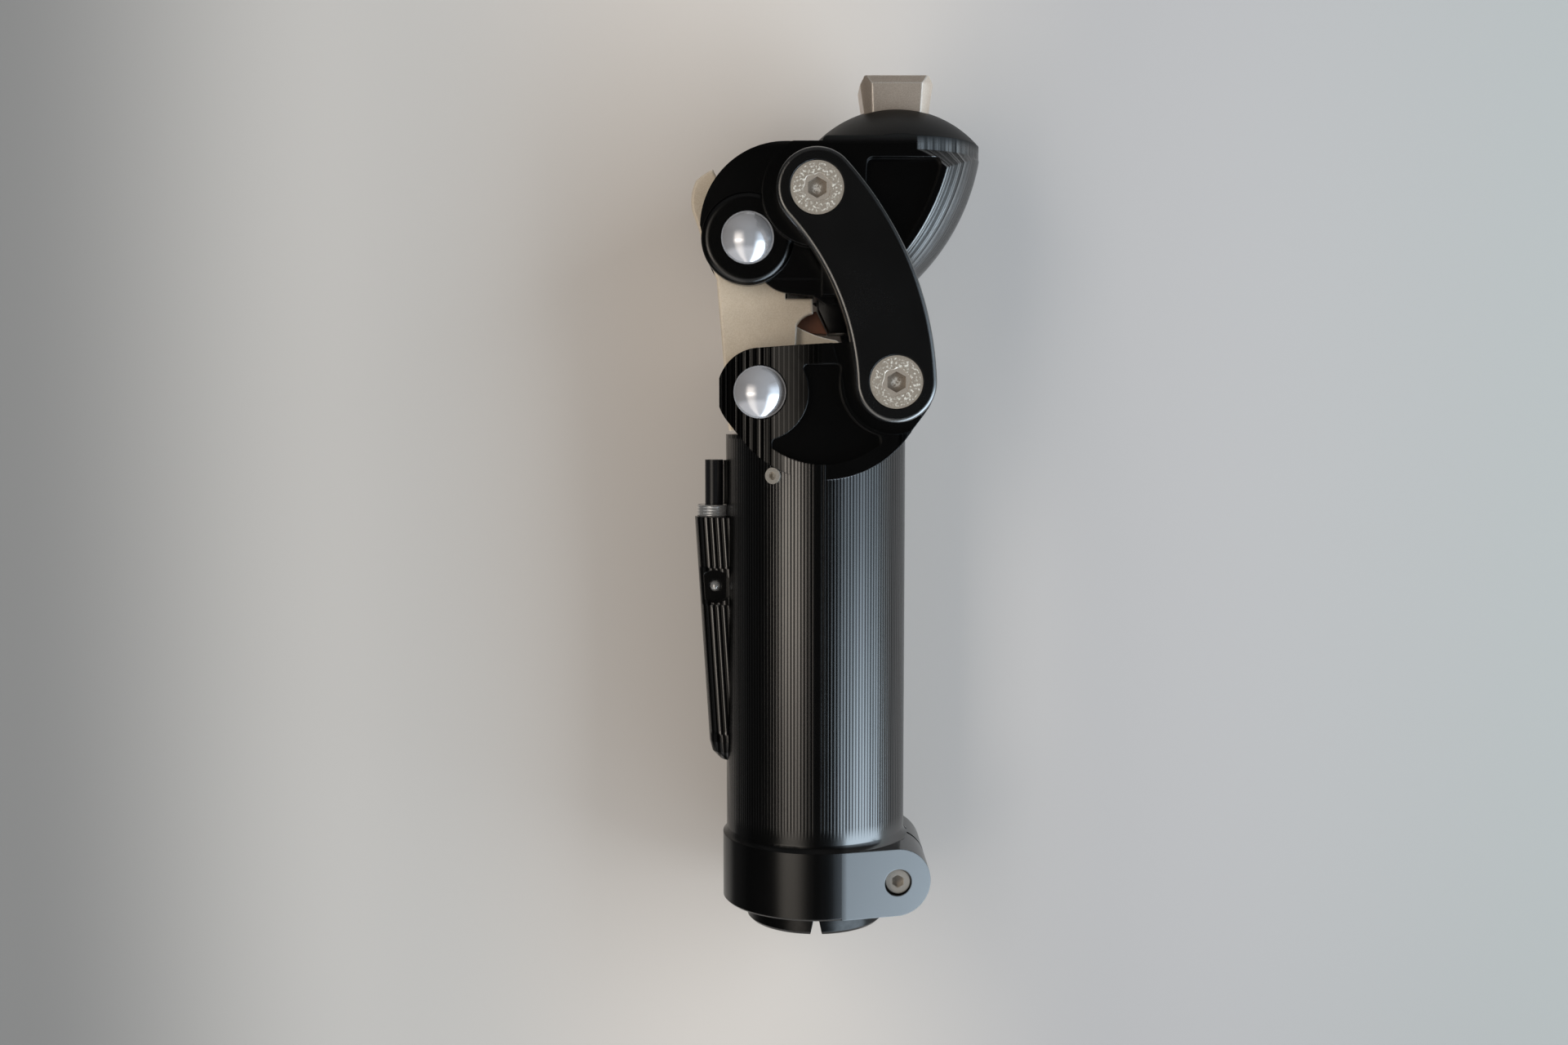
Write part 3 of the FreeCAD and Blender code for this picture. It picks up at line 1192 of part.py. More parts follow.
def build_shank():
    export(main_housing(), "main_housing")
    export(clamp_sleeve(), "clamp_sleeve")
    export(clamp_screw(), "clamp_screw")
    export(clamp_thread_insert(), "clamp_thread_insert")
    export(cylinder_plug(), "cylinder_plug")
    export(plug_o_ring(), "plug_o_ring")
    export(plug_circlip(), "plug_circlip")
    export(cylinder_liner(), "cylinder_liner")
    export(return_spring(), "return_spring")
    export(grub_screws(), "fork_grub_screws")
    export(valve_nipple(), "valve_nipple")
    export(channel_balls(), "channel_balls")
    axle_half = SEAT_C_Y - 0.1
    export(hollow_axle(PIVOT_C, REAR_AXLE_R, axle_half, DOME_SHANK_R, DOME_SHANK_L + 1), "lower_rear_axle")
    export(dome_screws(PIVOT_C, SEAT_C_Y), "lower_rear_screws")
    inner = FRONT_AXLE_R + RUNNING_GAP
    outer = FRONT_AXLE_R + FRONT_BUSH_WALL
    bushes = pair(tube_across(PIVOT_D, inner, outer, FORK_HALF_GAP, RECESS_D_Y))
    export(bushes, "lower_front_bushes")
    export(valve_stem(), "valve_stem")


def build_piston_group():
    export(piston(), "piston")
    export(piston_ring(RING_Z[0]), "piston_seal")
    export(piston_ring(RING_Z[1]), "piston_guide_ring")
    export(wrist_pin(), "wrist_pin")
    export(connecting_rod(), "connecting_rod")
    half = ROD_HALF_T
    lower = (0.0, WRIST_Z)
    eye_r = WRIST_R + OPEN_PIVOT_GAP
    small = tube_across(lower, eye_r, eye_r + ROD_BUSH_WALL, -half, half)
    export(small, "rod_lower_bush")
    large = tube_across(ROD_PIN, ROD_PIN_R + RUNNING_GAP, ROD_PIN_R + ROD_BUSH_WALL, -half, half)
    export(large, "rod_upper_bush")


def build_rear_link():
    export(rear_link(), "rear_link")
    export(bumper_block(0.0), "extension_bumper")
    export(rear_bushes(PIVOT_A), "upper_rear_bushes")
    export(rear_bushes(PIVOT_C), "lower_rear_bushes")
    export(thrust_washers(PIVOT_A), "upper_thrust_washers")
    export(thrust_washers(PIVOT_C), "lower_thrust_washers")
    export(across(ROD_PIN, ROD_PIN_R, -ARM_HALF_T - 0.4, ARM_HALF_T + 0.4), "rod_pin")
    clips = pair(tube_across(ROD_PIN, ROD_PIN_R + 0.02, ROD_PIN_R + 1.4, ARM_HALF_T, ARM_HALF_T + 0.8))
    export(clips, "rod_pin_clips")


def build_head():
    export(knee_head(), "knee_head")
    export(pyramid_adapter(), "pyramid_adapter")
    export(pyramid_bolt(), "pyramid_bolt")
    axle = hollow_axle(PIVOT_A, REAR_AXLE_R, CHEEK_Y - 0.1, DOME_SHANK_R, DOME_SHANK_L + 1)
    export(axle, "upper_rear_axle")
    export(dome_screws(PIVOT_A, CHEEK_Y), "upper_rear_screws")
    outer = FRONT_AXLE_R + FRONT_BUSH_WALL
    bushes = pair(tube_across(PIVOT_B, FRONT_AXLE_R, outer, CHEEK_INNER_Y + 1.1, HEAD_HALF_W - 0.1))
    export(bushes, "upper_front_bushes")


def build_front_links():
    far = front_link()
    export(far, "front_link_far")
    export(mirrored(far), "front_link_near")
    half = FRONT_LINK_Y - 0.02
    axle = hollow_axle(PIVOT_D, FRONT_AXLE_R, half, COUNTERSUNK_SHANK_R, COUNTERSUNK_SHANK_L)
    export(axle, "lower_front_axle")
    export(countersunk_screws(PIVOT_D), "lower_front_screws")
    export(countersunk_screws(PIVOT_B), "upper_front_screws")


os.makedirs("parts", exist_ok=True)
build_shank()
build_piston_group()
build_rear_link()
build_head()
build_front_links()
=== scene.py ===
import math

import bmesh
import bpy
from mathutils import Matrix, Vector


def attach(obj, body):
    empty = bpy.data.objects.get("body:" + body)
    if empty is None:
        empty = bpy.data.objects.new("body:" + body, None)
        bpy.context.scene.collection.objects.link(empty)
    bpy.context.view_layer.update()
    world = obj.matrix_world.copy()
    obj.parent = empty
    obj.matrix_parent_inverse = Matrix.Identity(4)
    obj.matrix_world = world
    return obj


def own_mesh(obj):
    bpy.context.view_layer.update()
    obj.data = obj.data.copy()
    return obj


# Prosthetic knee with four pivots and an air cylinder in its tube, fully extended.
# Metres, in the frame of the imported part: +Z up the tube, +X to the front of the knee.
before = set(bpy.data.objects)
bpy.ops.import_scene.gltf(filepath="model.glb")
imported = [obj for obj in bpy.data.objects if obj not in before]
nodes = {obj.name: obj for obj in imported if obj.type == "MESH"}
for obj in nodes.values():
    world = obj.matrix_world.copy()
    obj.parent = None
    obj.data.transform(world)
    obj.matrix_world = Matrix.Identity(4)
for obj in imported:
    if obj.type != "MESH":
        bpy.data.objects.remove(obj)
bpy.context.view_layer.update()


# Camera: stands at the near side of the knee, a little above its middle and tipped
# slightly down, as it was when the knee lay on the table.
camera_place = (-0.00844, -0.42496, 0.13705)
camera_tip = 0.07
lens_length = 36.34
film_width = 36.0
nearest_seen = 0.01
camera_data = bpy.data.cameras.new("camera")
camera_data.sensor_width = film_width
camera_data.lens = lens_length
camera_data.clip_start = nearest_seen
camera = bpy.data.objects.new("camera", camera_data)
camera.location = camera_place
camera.rotation_euler = (math.pi / 2 - camera_tip, 0, 0)
bpy.context.scene.collection.objects.link(camera)
bpy.context.scene.camera = camera
bpy.context.scene.view_settings.view_transform = "Standard"


# Table: pale grey board that the knee lies on, so it stands upright behind the knee here.
# Its colour is painted light and shade: a painted warm light left of the knee and painted
# shade darker towards both sides. From behind it lets light and the view through, and in
# reflections its left part is painted nearly black, a painted shadow that only shiny parts show.
class Wire:
    """One value, colour or vector on its way through a material."""

    def __init__(self, finish, socket):
        self.finish = finish
        self.socket = socket

    def math(self, operation, first, second=None):
        inputs = {0: first} if second is None else {0: first, 1: second}
        return self.finish.node("ShaderNodeMath", {"operation": operation}, inputs)

    def __add__(self, other):
        return self.math("ADD", self, other)

    def __radd__(self, other):
        return self.math("ADD", other, self)

    def __sub__(self, other):
        return self.math("SUBTRACT", self, other)

    def __rsub__(self, other):
        return self.math("SUBTRACT", other, self)

    def __mul__(self, other):
        return self.math("MULTIPLY", self, other)

    def __rmul__(self, other):
        return self.math("MULTIPLY", other, self)

    def sine(self):
        return self.math("SINE", self)

    def size(self):
        return self.math("ABSOLUTE", self)

    def root(self):
        return self.math("SQRT", self)

    def turn(self, other):
        """Angle whose sine is in proportion to this value and its cosine to the other."""
        return self.math("ARCTAN2", self, other)

    def between(self, low, high):
        """0 up to low, 1 from high, smooth between them."""
        settings = {"interpolation_type": "SMOOTHSTEP"}
        inputs = {"Value": self, "From Min": low, "From Max": high}
        return self.finish.node("ShaderNodeMapRange", settings, inputs)


class Finish:
    """The node tree of one material or of the world."""

    def __init__(self, name, owner=None):
        self.owner = owner or bpy.data.materials.new(name)
        self.owner.use_nodes = True
        self.tree = self.owner.node_tree
        self.tree.nodes.clear()

    def node(self, kind, settings=None, inputs=None, out=0):
        made = self.tree.nodes.new(kind)
        for key, value in (settings or {}).items():
            setattr(made, key, value)
        for key, value in (inputs or {}).items():
            if isinstance(value, Wire):
                self.tree.links.new(value.socket, made.inputs[key])
            elif isinstance(value, tuple) and made.inputs[key].type == "RGBA":
                made.inputs[key].default_value = (*value, 1.0)
            else:
                made.inputs[key].default_value = value
        return Wire(self, made.outputs[out])

    def point(self):
        """The point on the surface in the frame of the knee, in metres."""
        return self.node("ShaderNodeTexCoord", out="Object")

    def split(self, vector):
        return [self.node("ShaderNodeSeparateXYZ", None, {0: vector}, out=k) for k in range(3)]

    def vector(self, x, y, z):
        return self.node("ShaderNodeCombineXYZ", None, {0: x, 1: y, 2: z})

    def vector_math(self, operation, inputs, out=0):
        return self.node("ShaderNodeVectorMath", {"operation": operation}, inputs, out)

    def noise(self, vector, scale, detail, roughness=0.55):
        inputs = {"Vector": vector, "Scale": scale, "Detail": detail, "Roughness": roughness}
        return self.node("ShaderNodeTexNoise", None, inputs)

    def mix(self, share, first, second):
        settings = {"data_type": "RGBA"}
        return self.node("ShaderNodeMix", settings, {0: share, 6: first, 7: second}, out=2)

    def bump(self, height, distance, strength, under=None):
        """Relief as deep as distance, on top of the normal under it where one is given."""
        inputs = {"Height": height, "Distance": distance, "Strength": strength}
        if under is not None:
            inputs["Normal"] = under
        return self.node("ShaderNodeBump", None, inputs)

    def broken_edge(self, radius):
        """Normal of a solid whose edges are taken off to the given radius."""
        return self.node("ShaderNodeBevel", {"samples": 4}, {"Radius": radius})

    def surface(self, shader):
        is_world = isinstance(self.owner, bpy.types.World)
        kind = "ShaderNodeOutputWorld" if is_world else "ShaderNodeOutputMaterial"
        made = self.tree.nodes.new(kind)
        self.tree.links.new(shader.socket, made.inputs["Surface"])
        return self.owner

    def principled(self, inputs):
        return self.surface(self.node("ShaderNodeBsdfPrincipled", None, inputs))


table_y = 0.0295
table_reach = 3.0
# Painted light and shade across the board: dark at the far left, warm left of the knee, darker
# again to the right.
painted_shade_far_left_tone = (0.225, 0.225, 0.225)
painted_light_tones_to_the_right = [
    (-0.235, -0.13, (0.475, 0.462, 0.448)),
    (-0.12, -0.03, (0.56, 0.52, 0.485)),
    (-0.02, 0.09, (0.395, 0.385, 0.385)),
    (0.10, 0.24, (0.335, 0.345, 0.338)),
]
# Painted shadow in reflections: glossy rays see the board's left part nearly black.
painted_mirror_shadow_tone = (0.02, 0.02, 0.02)
painted_mirror_shadow_share = 0.9
painted_mirror_shadow_end = (-0.090, -0.055)
table_mesh = bpy.data.meshes.new("table")
table_corners = [(-table_reach, table_y, -table_reach), (table_reach, table_y, -table_reach),
                 (table_reach, table_y, table_reach), (-table_reach, table_y, table_reach)]
table_mesh.from_pydata(table_corners, [], [(0, 1, 2, 3)])
table = bpy.data.objects.new("table", table_mesh)
bpy.context.scene.collection.objects.link(table)
board = Finish("table_board")
board_x = board.split(board.point())[0]
shade = painted_shade_far_left_tone
for fade_start, fade_end, next_tone in painted_light_tones_to_the_right:
    shade = board.mix(board_x.between(fade_start, fade_end), shade, next_tone)
# Painted shadow: the board's left part is made nearly black for glossy rays only.
is_mirrored = board.node("ShaderNodeLightPath", out="Is Glossy Ray")
painted_mirror_shadow_side = 1.0 - board_x.between(*painted_mirror_shadow_end)
shade = board.mix(is_mirrored * painted_mirror_shadow_side * painted_mirror_shadow_share, shade, painted_mirror_shadow_tone)
board_front = board.node("ShaderNodeBsdfDiffuse", None, {"Color": shade})
board_back = board.node("ShaderNodeBsdfTransparent")
from_behind = board.node("ShaderNodeNewGeometry", out="Backfacing")
is_shadow = board.node("ShaderNodeLightPath", out="Is Shadow Ray")
either = (from_behind + is_shadow).between(0.25, 0.75)
board.surface(board.node("ShaderNodeMixShader", None, {0: either, 1: board_front, 2: board_back}))
table_mesh.materials.append(board.owner)


# Light: a tall cool window on the right, a weaker warm one on the left, and a plain lamp
# behind the board, in a room of one even tone. Shiny parts mirror a dark room with an upright
# band for each: the right one is brightest low down and the left one high up.
room = bpy.data.worlds.new("room")
bpy.context.scene.world = room
air = Finish("room", room)
heading = air.node("ShaderNodeTexCoord", out="Generated")
east, north, up = air.split(heading)
bearing = east.turn(north * -1.0)
window_top = (0.08, 0.50)
below_top = 1.0 - up.between(*window_top)

left_start, left_end = (-0.90, -0.66), (-0.50, -0.12)
left_rise, left_low_tone, left_high_gain = (-0.30, -0.05), 0.55, 1.75
left_dip, left_dip_share = (-0.045, -0.01), 0.55
left_colour = (1.0, 0.91, 0.80)
left_band = bearing.between(*left_start) * (1.0 - bearing.between(*left_end))
left_band = left_band * (left_low_tone + up.between(*left_rise) * left_high_gain)
left_band = left_band * (1.0 - up.between(*left_dip) * left_dip_share)

right_start, right_end, right_end_share = (0.36, 0.80), (1.30, 2.30), 0.75
right_fall, right_high_tone, right_low_gain = (-0.34, -0.02), 0.75, 3.2
right_colour = (0.78, 0.94, 1.08)
right_band = bearing.between(*right_start) * (1.0 - bearing.between(*right_end) * right_end_share)
right_band = right_band * (right_high_tone + (1.0 - up.between(*right_fall)) * right_low_gain)

back_start, back_end, back_tone = (2.15, 2.45), (2.65, 2.95), 0.55
back_band = bearing.size().between(*back_start) * (1.0 - bearing.size().between(*back_end))
back_band = back_band * below_top

wall_tone, side_wall, side_wall_tone = 0.025, (1.6, 2.6), 0.10
ceiling_start, ceiling_tone = (0.30, 0.80), 0.06
floor_start, floor_tone = (0.34, 0.60), 0.30
walls = wall_tone + bearing.between(*side_wall) * side_wall_tone + back_band * back_tone
ceiling = up.between(*ceiling_start) * ceiling_tone
floor = (up * -1.0).between(*floor_start) * floor_tone
warm = air.vector_math("SCALE", {0: left_colour, 3: left_band * below_top})
cool = air.vector_math("SCALE", {0: right_colour, 3: right_band * below_top})
mirror_tone = air.vector_math("ADD", {0: warm, 1: cool})
mirror_tone = air.vector_math("ADD", {0: mirror_tone, 1: walls + (ceiling + floor)})
even_tone = (0.34, 0.34, 0.34)
pale_tone = (0.47, 0.47, 0.47)
is_camera = air.node("ShaderNodeLightPath", out="Is Camera Ray")
is_diffuse = air.node("ShaderNodeLightPath", out="Is Diffuse Ray")
room_tone = air.mix(is_diffuse, mirror_tone, even_tone)
room_tone = air.mix(is_camera, room_tone, pale_tone)
air.surface(air.node("ShaderNodeBackground", None, {"Color": room_tone, "Strength": 1.0}))


def lamp(name, place, aim, width, height, power, colour):
    data = bpy.data.lights.new(name, "AREA")
    data.shape = "RECTANGLE"
    data.size = width
    data.size_y = height
    data.energy = power
    data.color = colour
    made = bpy.data.objects.new(name, data)
    made.location = place
    made.rotation_mode = "QUATERNION"
    made.rotation_quaternion = (Vector(aim) - Vector(place)).to_track_quat("-Z", "Y")
    made.visible_glossy = False
    bpy.context.scene.collection.objects.link(made)


knee_middle = (0.0, 0.0, 0.11)
cool_light, warm_light, plain_light = (0.86, 0.94, 1.0), (1.0, 0.93, 0.84), (0.98, 0.98, 1.0)
lamp("window_right", (0.62, -0.30, 0.14), knee_middle, 0.55, 0.85, 7.0, cool_light)
lamp("window_left", (-0.36, -0.52, 0.14), knee_middle, 0.22, 0.80, 2.2, warm_light)
lamp("room_behind", (-0.20, 0.62, 0.22), knee_middle, 0.60, 0.80, 5.0, plain_light)


# Housing: tube with its clamp, fork and valve boss, milled from one aluminium billet and
# anodised black. The cutter left fine lines on the tube and the fork's rear ear, and flutes
# run down the boss. Their tone is painted: bright crests are painted highlights and dark
# grooves painted shade, and the clamp's ear faces are painted brighter.
tube_r = 0.024
# Tones of painted highlights on the crests of the tube lines, the rear ear and the clamp's ear
# faces.
tube_line_count, tube_line_edge, tube_crest_highlight_tone = 167.0, (-0.8, 0.4), 0.75
streak_edge, streak_tone = (0.35, 0.65), 0.25
clamp_top, clamp_tone = (0.026, 0.030), 0.35
clamp_ear_start, clamp_ear_highlight_gain = (0.006, 0.008), 0.65
fork_foot, ear_foot = (0.1298, 0.1302), (0.1150, 0.1155)
ear_line_pitch, ear_line_edge, ear_crest_highlight_tone = 0.00125, (0.60, 1.00), 0.62
ear_highlight_fade, ear_highlight_fade_share = (-0.014, -0.008), 0.42
off_tube_wall = (0.0001, 0.0003)
boss_x = (-0.0232, -0.0226)
boss_axis_mm, boss_top_mm, boss_lean = 27.2, 109.0, 0.0626
flute_start_mm, flute_radians_per_mm, flute_edge = 3.4, 4.05, (-0.6, 0.9)
flute_depth = 0.00025
flute_foot, flute_top = (0.0500, 0.0515), (0.1090, 0.1096)
ball_z, plain_round_ball = 0.0905, (0.0046, 0.0056)


def smooth(node, crisp_from=28.0):
    """Rounds the shading of a turned or milled solid and keeps its real edges crisp."""
    mesh = node.data
    mesh.set_sharp_from_angle(angle=math.radians(crisp_from))
    for face in mesh.polygons:
        face.use_smooth = True


def dress(names, finish):
    for name in names:
        node = nodes[name]
        if not node.material_slots:
            node.data.materials.append(finish)
        for holder in node.material_slots:
            holder.material = finish
        smooth(node)


def grey(tone):
    return (tone, tone, tone)


def black_anodised(name, lines, line_depth, roughness, groove, crest, flat_tone=0.06,
                   satin=None, carving=None):
    """Black anodised metal. Its lines are 0 in a groove of the cutter and 1 on a crest, and
    what they reflect goes from groove to crest: the groove tone is painted shade and the crest
    tone a painted highlight. The plates' flat sides have no lines and reflect flat_tone."""
    made = Finish(name)
    point = made.point()
    x, y, z = made.split(point)
    cloud = made.noise(point, scale=60.0, detail=4.0)
    grain = made.noise(point, scale=5200.0, detail=2.0)
    grain_relief, cloud_gloss, grain_gloss = 0.22, 0.08, 0.05
    edge_radius, grazing_tone = 0.0003, 0.75
    sideways = made.split(made.node("ShaderNodeNewGeometry", out="Normal"))[1].size()
    flat = sideways.between(0.9990, 0.9999)
    marks = lines(made, x, y, z)
    # Painted shade in the grooves and painted highlight on the crests; flat sides take flat_tone.
    tone = made.mix(marks, grey(groove), grey(crest))
    tone = made.mix(flat, tone, grey(flat_tone))
    relief = marks * (1.0 - flat) + grain * grain_relief
    normal = made.bump(relief, line_depth, strength=0.9, under=made.broken_edge(edge_radius))
    if carving is not None:
        normal = made.bump(carving(x, z), flute_depth, strength=1.0, under=normal)
    gloss = roughness + cloud * cloud_gloss + grain * grain_gloss
    if satin is not None:
        gloss = gloss + satin(z)
    return made.principled({
        "Base Color": tone,
        "Metallic": 1.0,
        "Specular Tint": grey(grazing_tone),
        "Roughness": gloss,
        "Normal": normal,
    })


def boss_wave(x, z):
    """1 in the flutes of the leaning boss and -1 on the ridges between them."""
    across = x * 1000.0 + boss_axis_mm - (boss_top_mm - z * 1000.0) * boss_lean
    return ((across + flute_start_mm) * flute_radians_per_mm + math.pi / 2).sine()


def housing_lines(made, x, y, z):
    """Fine upright lines round the tube, wide ones in the boss's flutes, thin crests on the
    rear ear, and a plain clamp with brighter ears. The crests' brightness is painted
    highlight, dimmer towards the ear's front, and the clamp's brighter ears are a painted
    highlight too."""
    stretched = made.vector(x * 1400.0, y * 1400.0, z * 5.0)
    streaks = made.noise(stretched, scale=1.0, detail=4.0, roughness=0.65).between(*streak_edge)
    passes = (y.turn(x) * tube_line_count).sine().between(*tube_line_edge)
    lines = passes * tube_crest_highlight_tone + streaks * streak_tone
    boss = 1.0 - x.between(*boss_x)
    lines = lines * (1.0 - boss) + boss_wave(x, z).between(*flute_edge) * boss
    off_tube = ((x * x + y * y).root() - tube_r).size().between(*off_tube_wall)
    below_fork = (1.0 - z.between(*fork_foot)) * (1.0 - z.between(*ear_foot) * off_tube)
    fork = 1.0 - below_fork
    crests = (x * (2.0 * math.pi / ear_line_pitch)).sine().between(*ear_line_edge)
    # Painted highlight: the ear's crests are dimmer towards the front.
    crests = crests * (ear_crest_highlight_tone - x.between(*ear_highlight_fade) * ear_highlight_fade_share)
    lines = lines * (1.0 - fork) + crests * fork
    clamp = 1.0 - z.between(*clamp_top)
    # Painted highlight: the clamp's ear faces reflect brighter.
    clamp_lines = clamp_tone + x.between(*clamp_ear_start) * clamp_ear_highlight_gain
    return lines * (1.0 - clamp) + clamp * clamp_lines


def boss_flutes(x, z):
    """Grooves down the sides of the valve boss, with a plain field round the steel ball."""
    on_boss = 1.0 - x.between(*boss_x)
    off_ball = (z - ball_z).size().between(*plain_round_ball)
    within_ends = z.between(*flute_foot) * (1.0 - z.between(*flute_top))
    return boss_wave(x, z) * -0.5 * on_boss * off_ball * within_ends


black_milled = black_anodised("black_milled", housing_lines, line_depth=0.00003, roughness=0.13,
                              groove=0.022, crest=0.17, carving=boss_flutes)
dress(["main_housing"], black_milled)


# Head: milled from the same black bar and carried by the rear link and the front links. Its
# curved front shows the cutter's lines beside the pocket, their crests painted as highlights
# that are strongest there, and its dome is blasted to a satin without painted highlights.
dome_foot, dome_satin = (0.2040, 0.2065), 0.24
beside_pocket_y, front_x = (0.004, 0.0185), (0.020, 0.026)
head_line_edge, faint_highlight_share, pocket_highlight_share = (0.36, 0.64), 0.12, 0.88


def head_lines(made, x, y, z):
    stretched = made.vector(0.0, y * 1500.0, z * 4.0)
    marks = made.noise(stretched, scale=1.0, detail=5.0, roughness=0.75).between(*head_line_edge)
    # Painted highlight on the line crests, strongest beside the pocket and none on the dome.
    beside_pocket = y.size().between(*beside_pocket_y) * x.between(*front_x)
    return marks * (faint_highlight_share + beside_pocket * pocket_highlight_share) * (1.0 - z.between(*dome_foot))


def satin_dome(z):
    return z.between(*dome_foot) * dome_satin


black_head = black_anodised("black_head", head_lines, line_depth=0.00006, roughness=0.13,
                            groove=0.045, crest=0.37, satin=satin_dome)
dress(["knee_head"], black_head)


# Front links and clamp sleeve: the two curved bars are cut from black anodised plate and
# screwed on with flat-head screws. The slit sleeve is turned, and the clamp closes it round
# the shank tube.
def blast_dimples(made, x, y, z):
    return made.noise(made.vector(x * 700.0, y * 700.0, z * 700.0), scale=1.0, detail=2.0)


# Painted highlight: the links' rounded edges reflect 0.20 to 0.28, their flat sides 0.09.
black_plate = black_anodised("black_link", blast_dimples, line_depth=0.000004, roughness=0.19,
                             groove=0.20, crest=0.28, flat_tone=0.09)
black_turned = black_anodised("black_sleeve", blast_dimples, line_depth=0.000006, roughness=0.19,
                              groove=0.03, crest=0.06)
dress(["front_link_near", "front_link_far"], black_plate)
dress(["clamp_sleeve"], black_turned)


# Rear link and pyramid adapter: the link is aluminium plate, blasted with glass beads and
# anodised champagne, and the adapter is turned and milled titanium, bolted into the dome.
# Their edges are broken by a narrow polished bevel, painted almost white as a painted
# highlight, and the beads carry painted glints.
# Painted glint tone on the beads and painted highlight tone on the polished edges.
painted_bead_glint, painted_bead_glint_share = (0.92, 0.86, 0.76), 0.18
bevel_highlight_tone, bevel_radius = (0.97, 0.94, 0.88), 0.00055


def beaded(name, colour, roughness, metallic):
    made = Finish(name)
    point = made.point()
    cloud = made.noise(point, scale=45.0, detail=4.0)
    beads = made.noise(point, scale=3800.0, detail=2.0)
    broken_edge = made.broken_edge(bevel_radius)
    facing = made.node("ShaderNodeNewGeometry", out="Normal")
    along = made.vector_math("DOT_PRODUCT", {0: broken_edge, 1: facing}, out=1)
    # The polished edge is smoother and painted almost white, a painted highlight.
    polished_highlit_edge = 1.0 - along.between(0.90, 0.99)
    deep = tuple(0.82 * part for part in colour)
    blasted = made.mix(cloud.between(0.3, 0.7), deep, colour)
    blasted = made.mix(beads.between(0.35, 0.65) * painted_bead_glint_share, blasted, painted_bead_glint)
    return made.principled({
        "Base Color": made.mix(polished_highlit_edge, blasted, bevel_highlight_tone),
        "Metallic": metallic,
        "Roughness": roughness + beads * 0.12 - polished_highlit_edge * 0.20,
        "Normal": made.bump(beads, distance=0.000010, strength=0.5, under=broken_edge),
    })


champagne = (0.66, 0.55, 0.42)
titanium = (0.56, 0.46, 0.38)
dress(["rear_link"], beaded("champagne_blasted", champagne, roughness=0.36, metallic=0.25))
dress(["pyramid_adapter"], beaded("titanium_blasted", titanium, roughness=0.26, metallic=0.68))


# Dome screws: polished stainless caps that close the hollow axles of the rear link, one at
# each end of each axle.
def bright_metal(name, colour, roughness, streak=0.0, metallic=1.0):
    """Bare or plated metal; streak is how much its roughness and relief vary."""
    made = Finish(name)
    point = made.point()
    cloud = made.noise(point, scale=260.0, detail=4.0)
    grain = made.noise(point, scale=1800.0, detail=3.0)
    deep = tuple(0.86 * part for part in colour)
    return made.principled({
        "Base Color": made.mix(cloud, deep, colour),
        "Metallic": metallic,
        "Roughness": roughness + cloud * 0.06 + grain * streak,
        "Normal": made.bump(grain, distance=0.000006, strength=0.25 + streak),
    })


polished_steel = bright_metal("mirror_steel", (0.90, 0.90, 0.94), 0.12, metallic=0.74)
dress(["lower_rear_screws", "upper_rear_screws"], polished_steel)


# Flat-head screws: they hold the front links to their axles and are tumbled stainless, with
# a plain rim, a dented ring and a six-lobed field round the socket. Glints on the ring and a
# spot of light in the socket are painted highlights.
field_edge_mm, rim_start_mm, socket_edge_mm = (3.35, 3.60), (5.95, 6.15), (0.8, 1.6)
lobe_count, lobe_depth_mm = 6.0, 0.22
rim_height, ring_height, dent_height, grain_height = 0.45, 0.30, 0.55, 0.12
ring_tone, field_tone = (0.37, 0.32, 0.265), (0.40, 0.345, 0.29)
painted_glint_tone, socket_highlight_tone = (0.92, 0.88, 0.80), (0.96, 0.93, 0.88)
lower_pivot_x, lower_pivot_z = 0.0197, 0.1444
upper_pivot_x, upper_pivot_z = -0.0002, 0.1925


def flat_head(name, pivot_x, pivot_z):
    made = Finish(name)
    point = made.point()
    x, _, z = made.split(point)
    right_mm = (x - pivot_x) * 1000.0
    high_mm = (z - pivot_z) * 1000.0
    out_mm = (right_mm * right_mm + high_mm * high_mm).root()
    lobes = (high_mm.turn(right_mm) * lobe_count).sine()
    field = 1.0 - (out_mm - lobes * lobe_depth_mm).between(*field_edge_mm)
    rim = out_mm.between(*rim_start_mm)
    ring = (1.0 - field) * (1.0 - rim)
    socket = 1.0 - out_mm.between(*socket_edge_mm)
    dents = made.noise(point, scale=1500.0, detail=3.0, roughness=0.6)
    grain = made.noise(point, scale=4200.0, detail=2.0)
    height = rim * rim_height + ring * ring_height + dents * ring * dent_height
    tone = made.mix(field, ring_tone, field_tone)
    # Painted glints on the dents of the ring and a painted highlight in the socket.
    tone = made.mix(dents.between(0.50, 0.66) * ring, tone, painted_glint_tone)
    tone = made.mix(socket * dents.between(0.40, 0.55), tone, socket_highlight_tone)
    return made.principled({
        "Base Color": tone,
        "Metallic": 0.5,
        "Roughness": 0.22 + grain * 0.14,
        "Normal": made.bump(height + grain * grain_height, distance=0.00022, strength=0.8),
    })


dress(["lower_front_screws"], flat_head("tumbled_steel_low", lower_pivot_x, lower_pivot_z))
dress(["upper_front_screws"], flat_head("tumbled_steel_high", upper_pivot_x, upper_pivot_z))


# Small steel fastenings: stainless clamp screw, grub screws beside the fork and the bolt
# under the pyramid, and the zinc-plated valve collar, channel balls, clips and insert.
stainless = bright_metal("screw_steel", (0.74, 0.69, 0.62), 0.14, 0.12, metallic=0.75)
zinc_plate = bright_metal("zinc_plate", (0.66, 0.66, 0.66), 0.16, 0.10, metallic=0.8)
dress(["clamp_screw", "fork_grub_screws", "pyramid_bolt"], stainless)
dress(["valve_nipple", "channel_balls", "clamp_thread_insert", "plug_circlip", "rod_pin_clips"],
      zinc_plate)


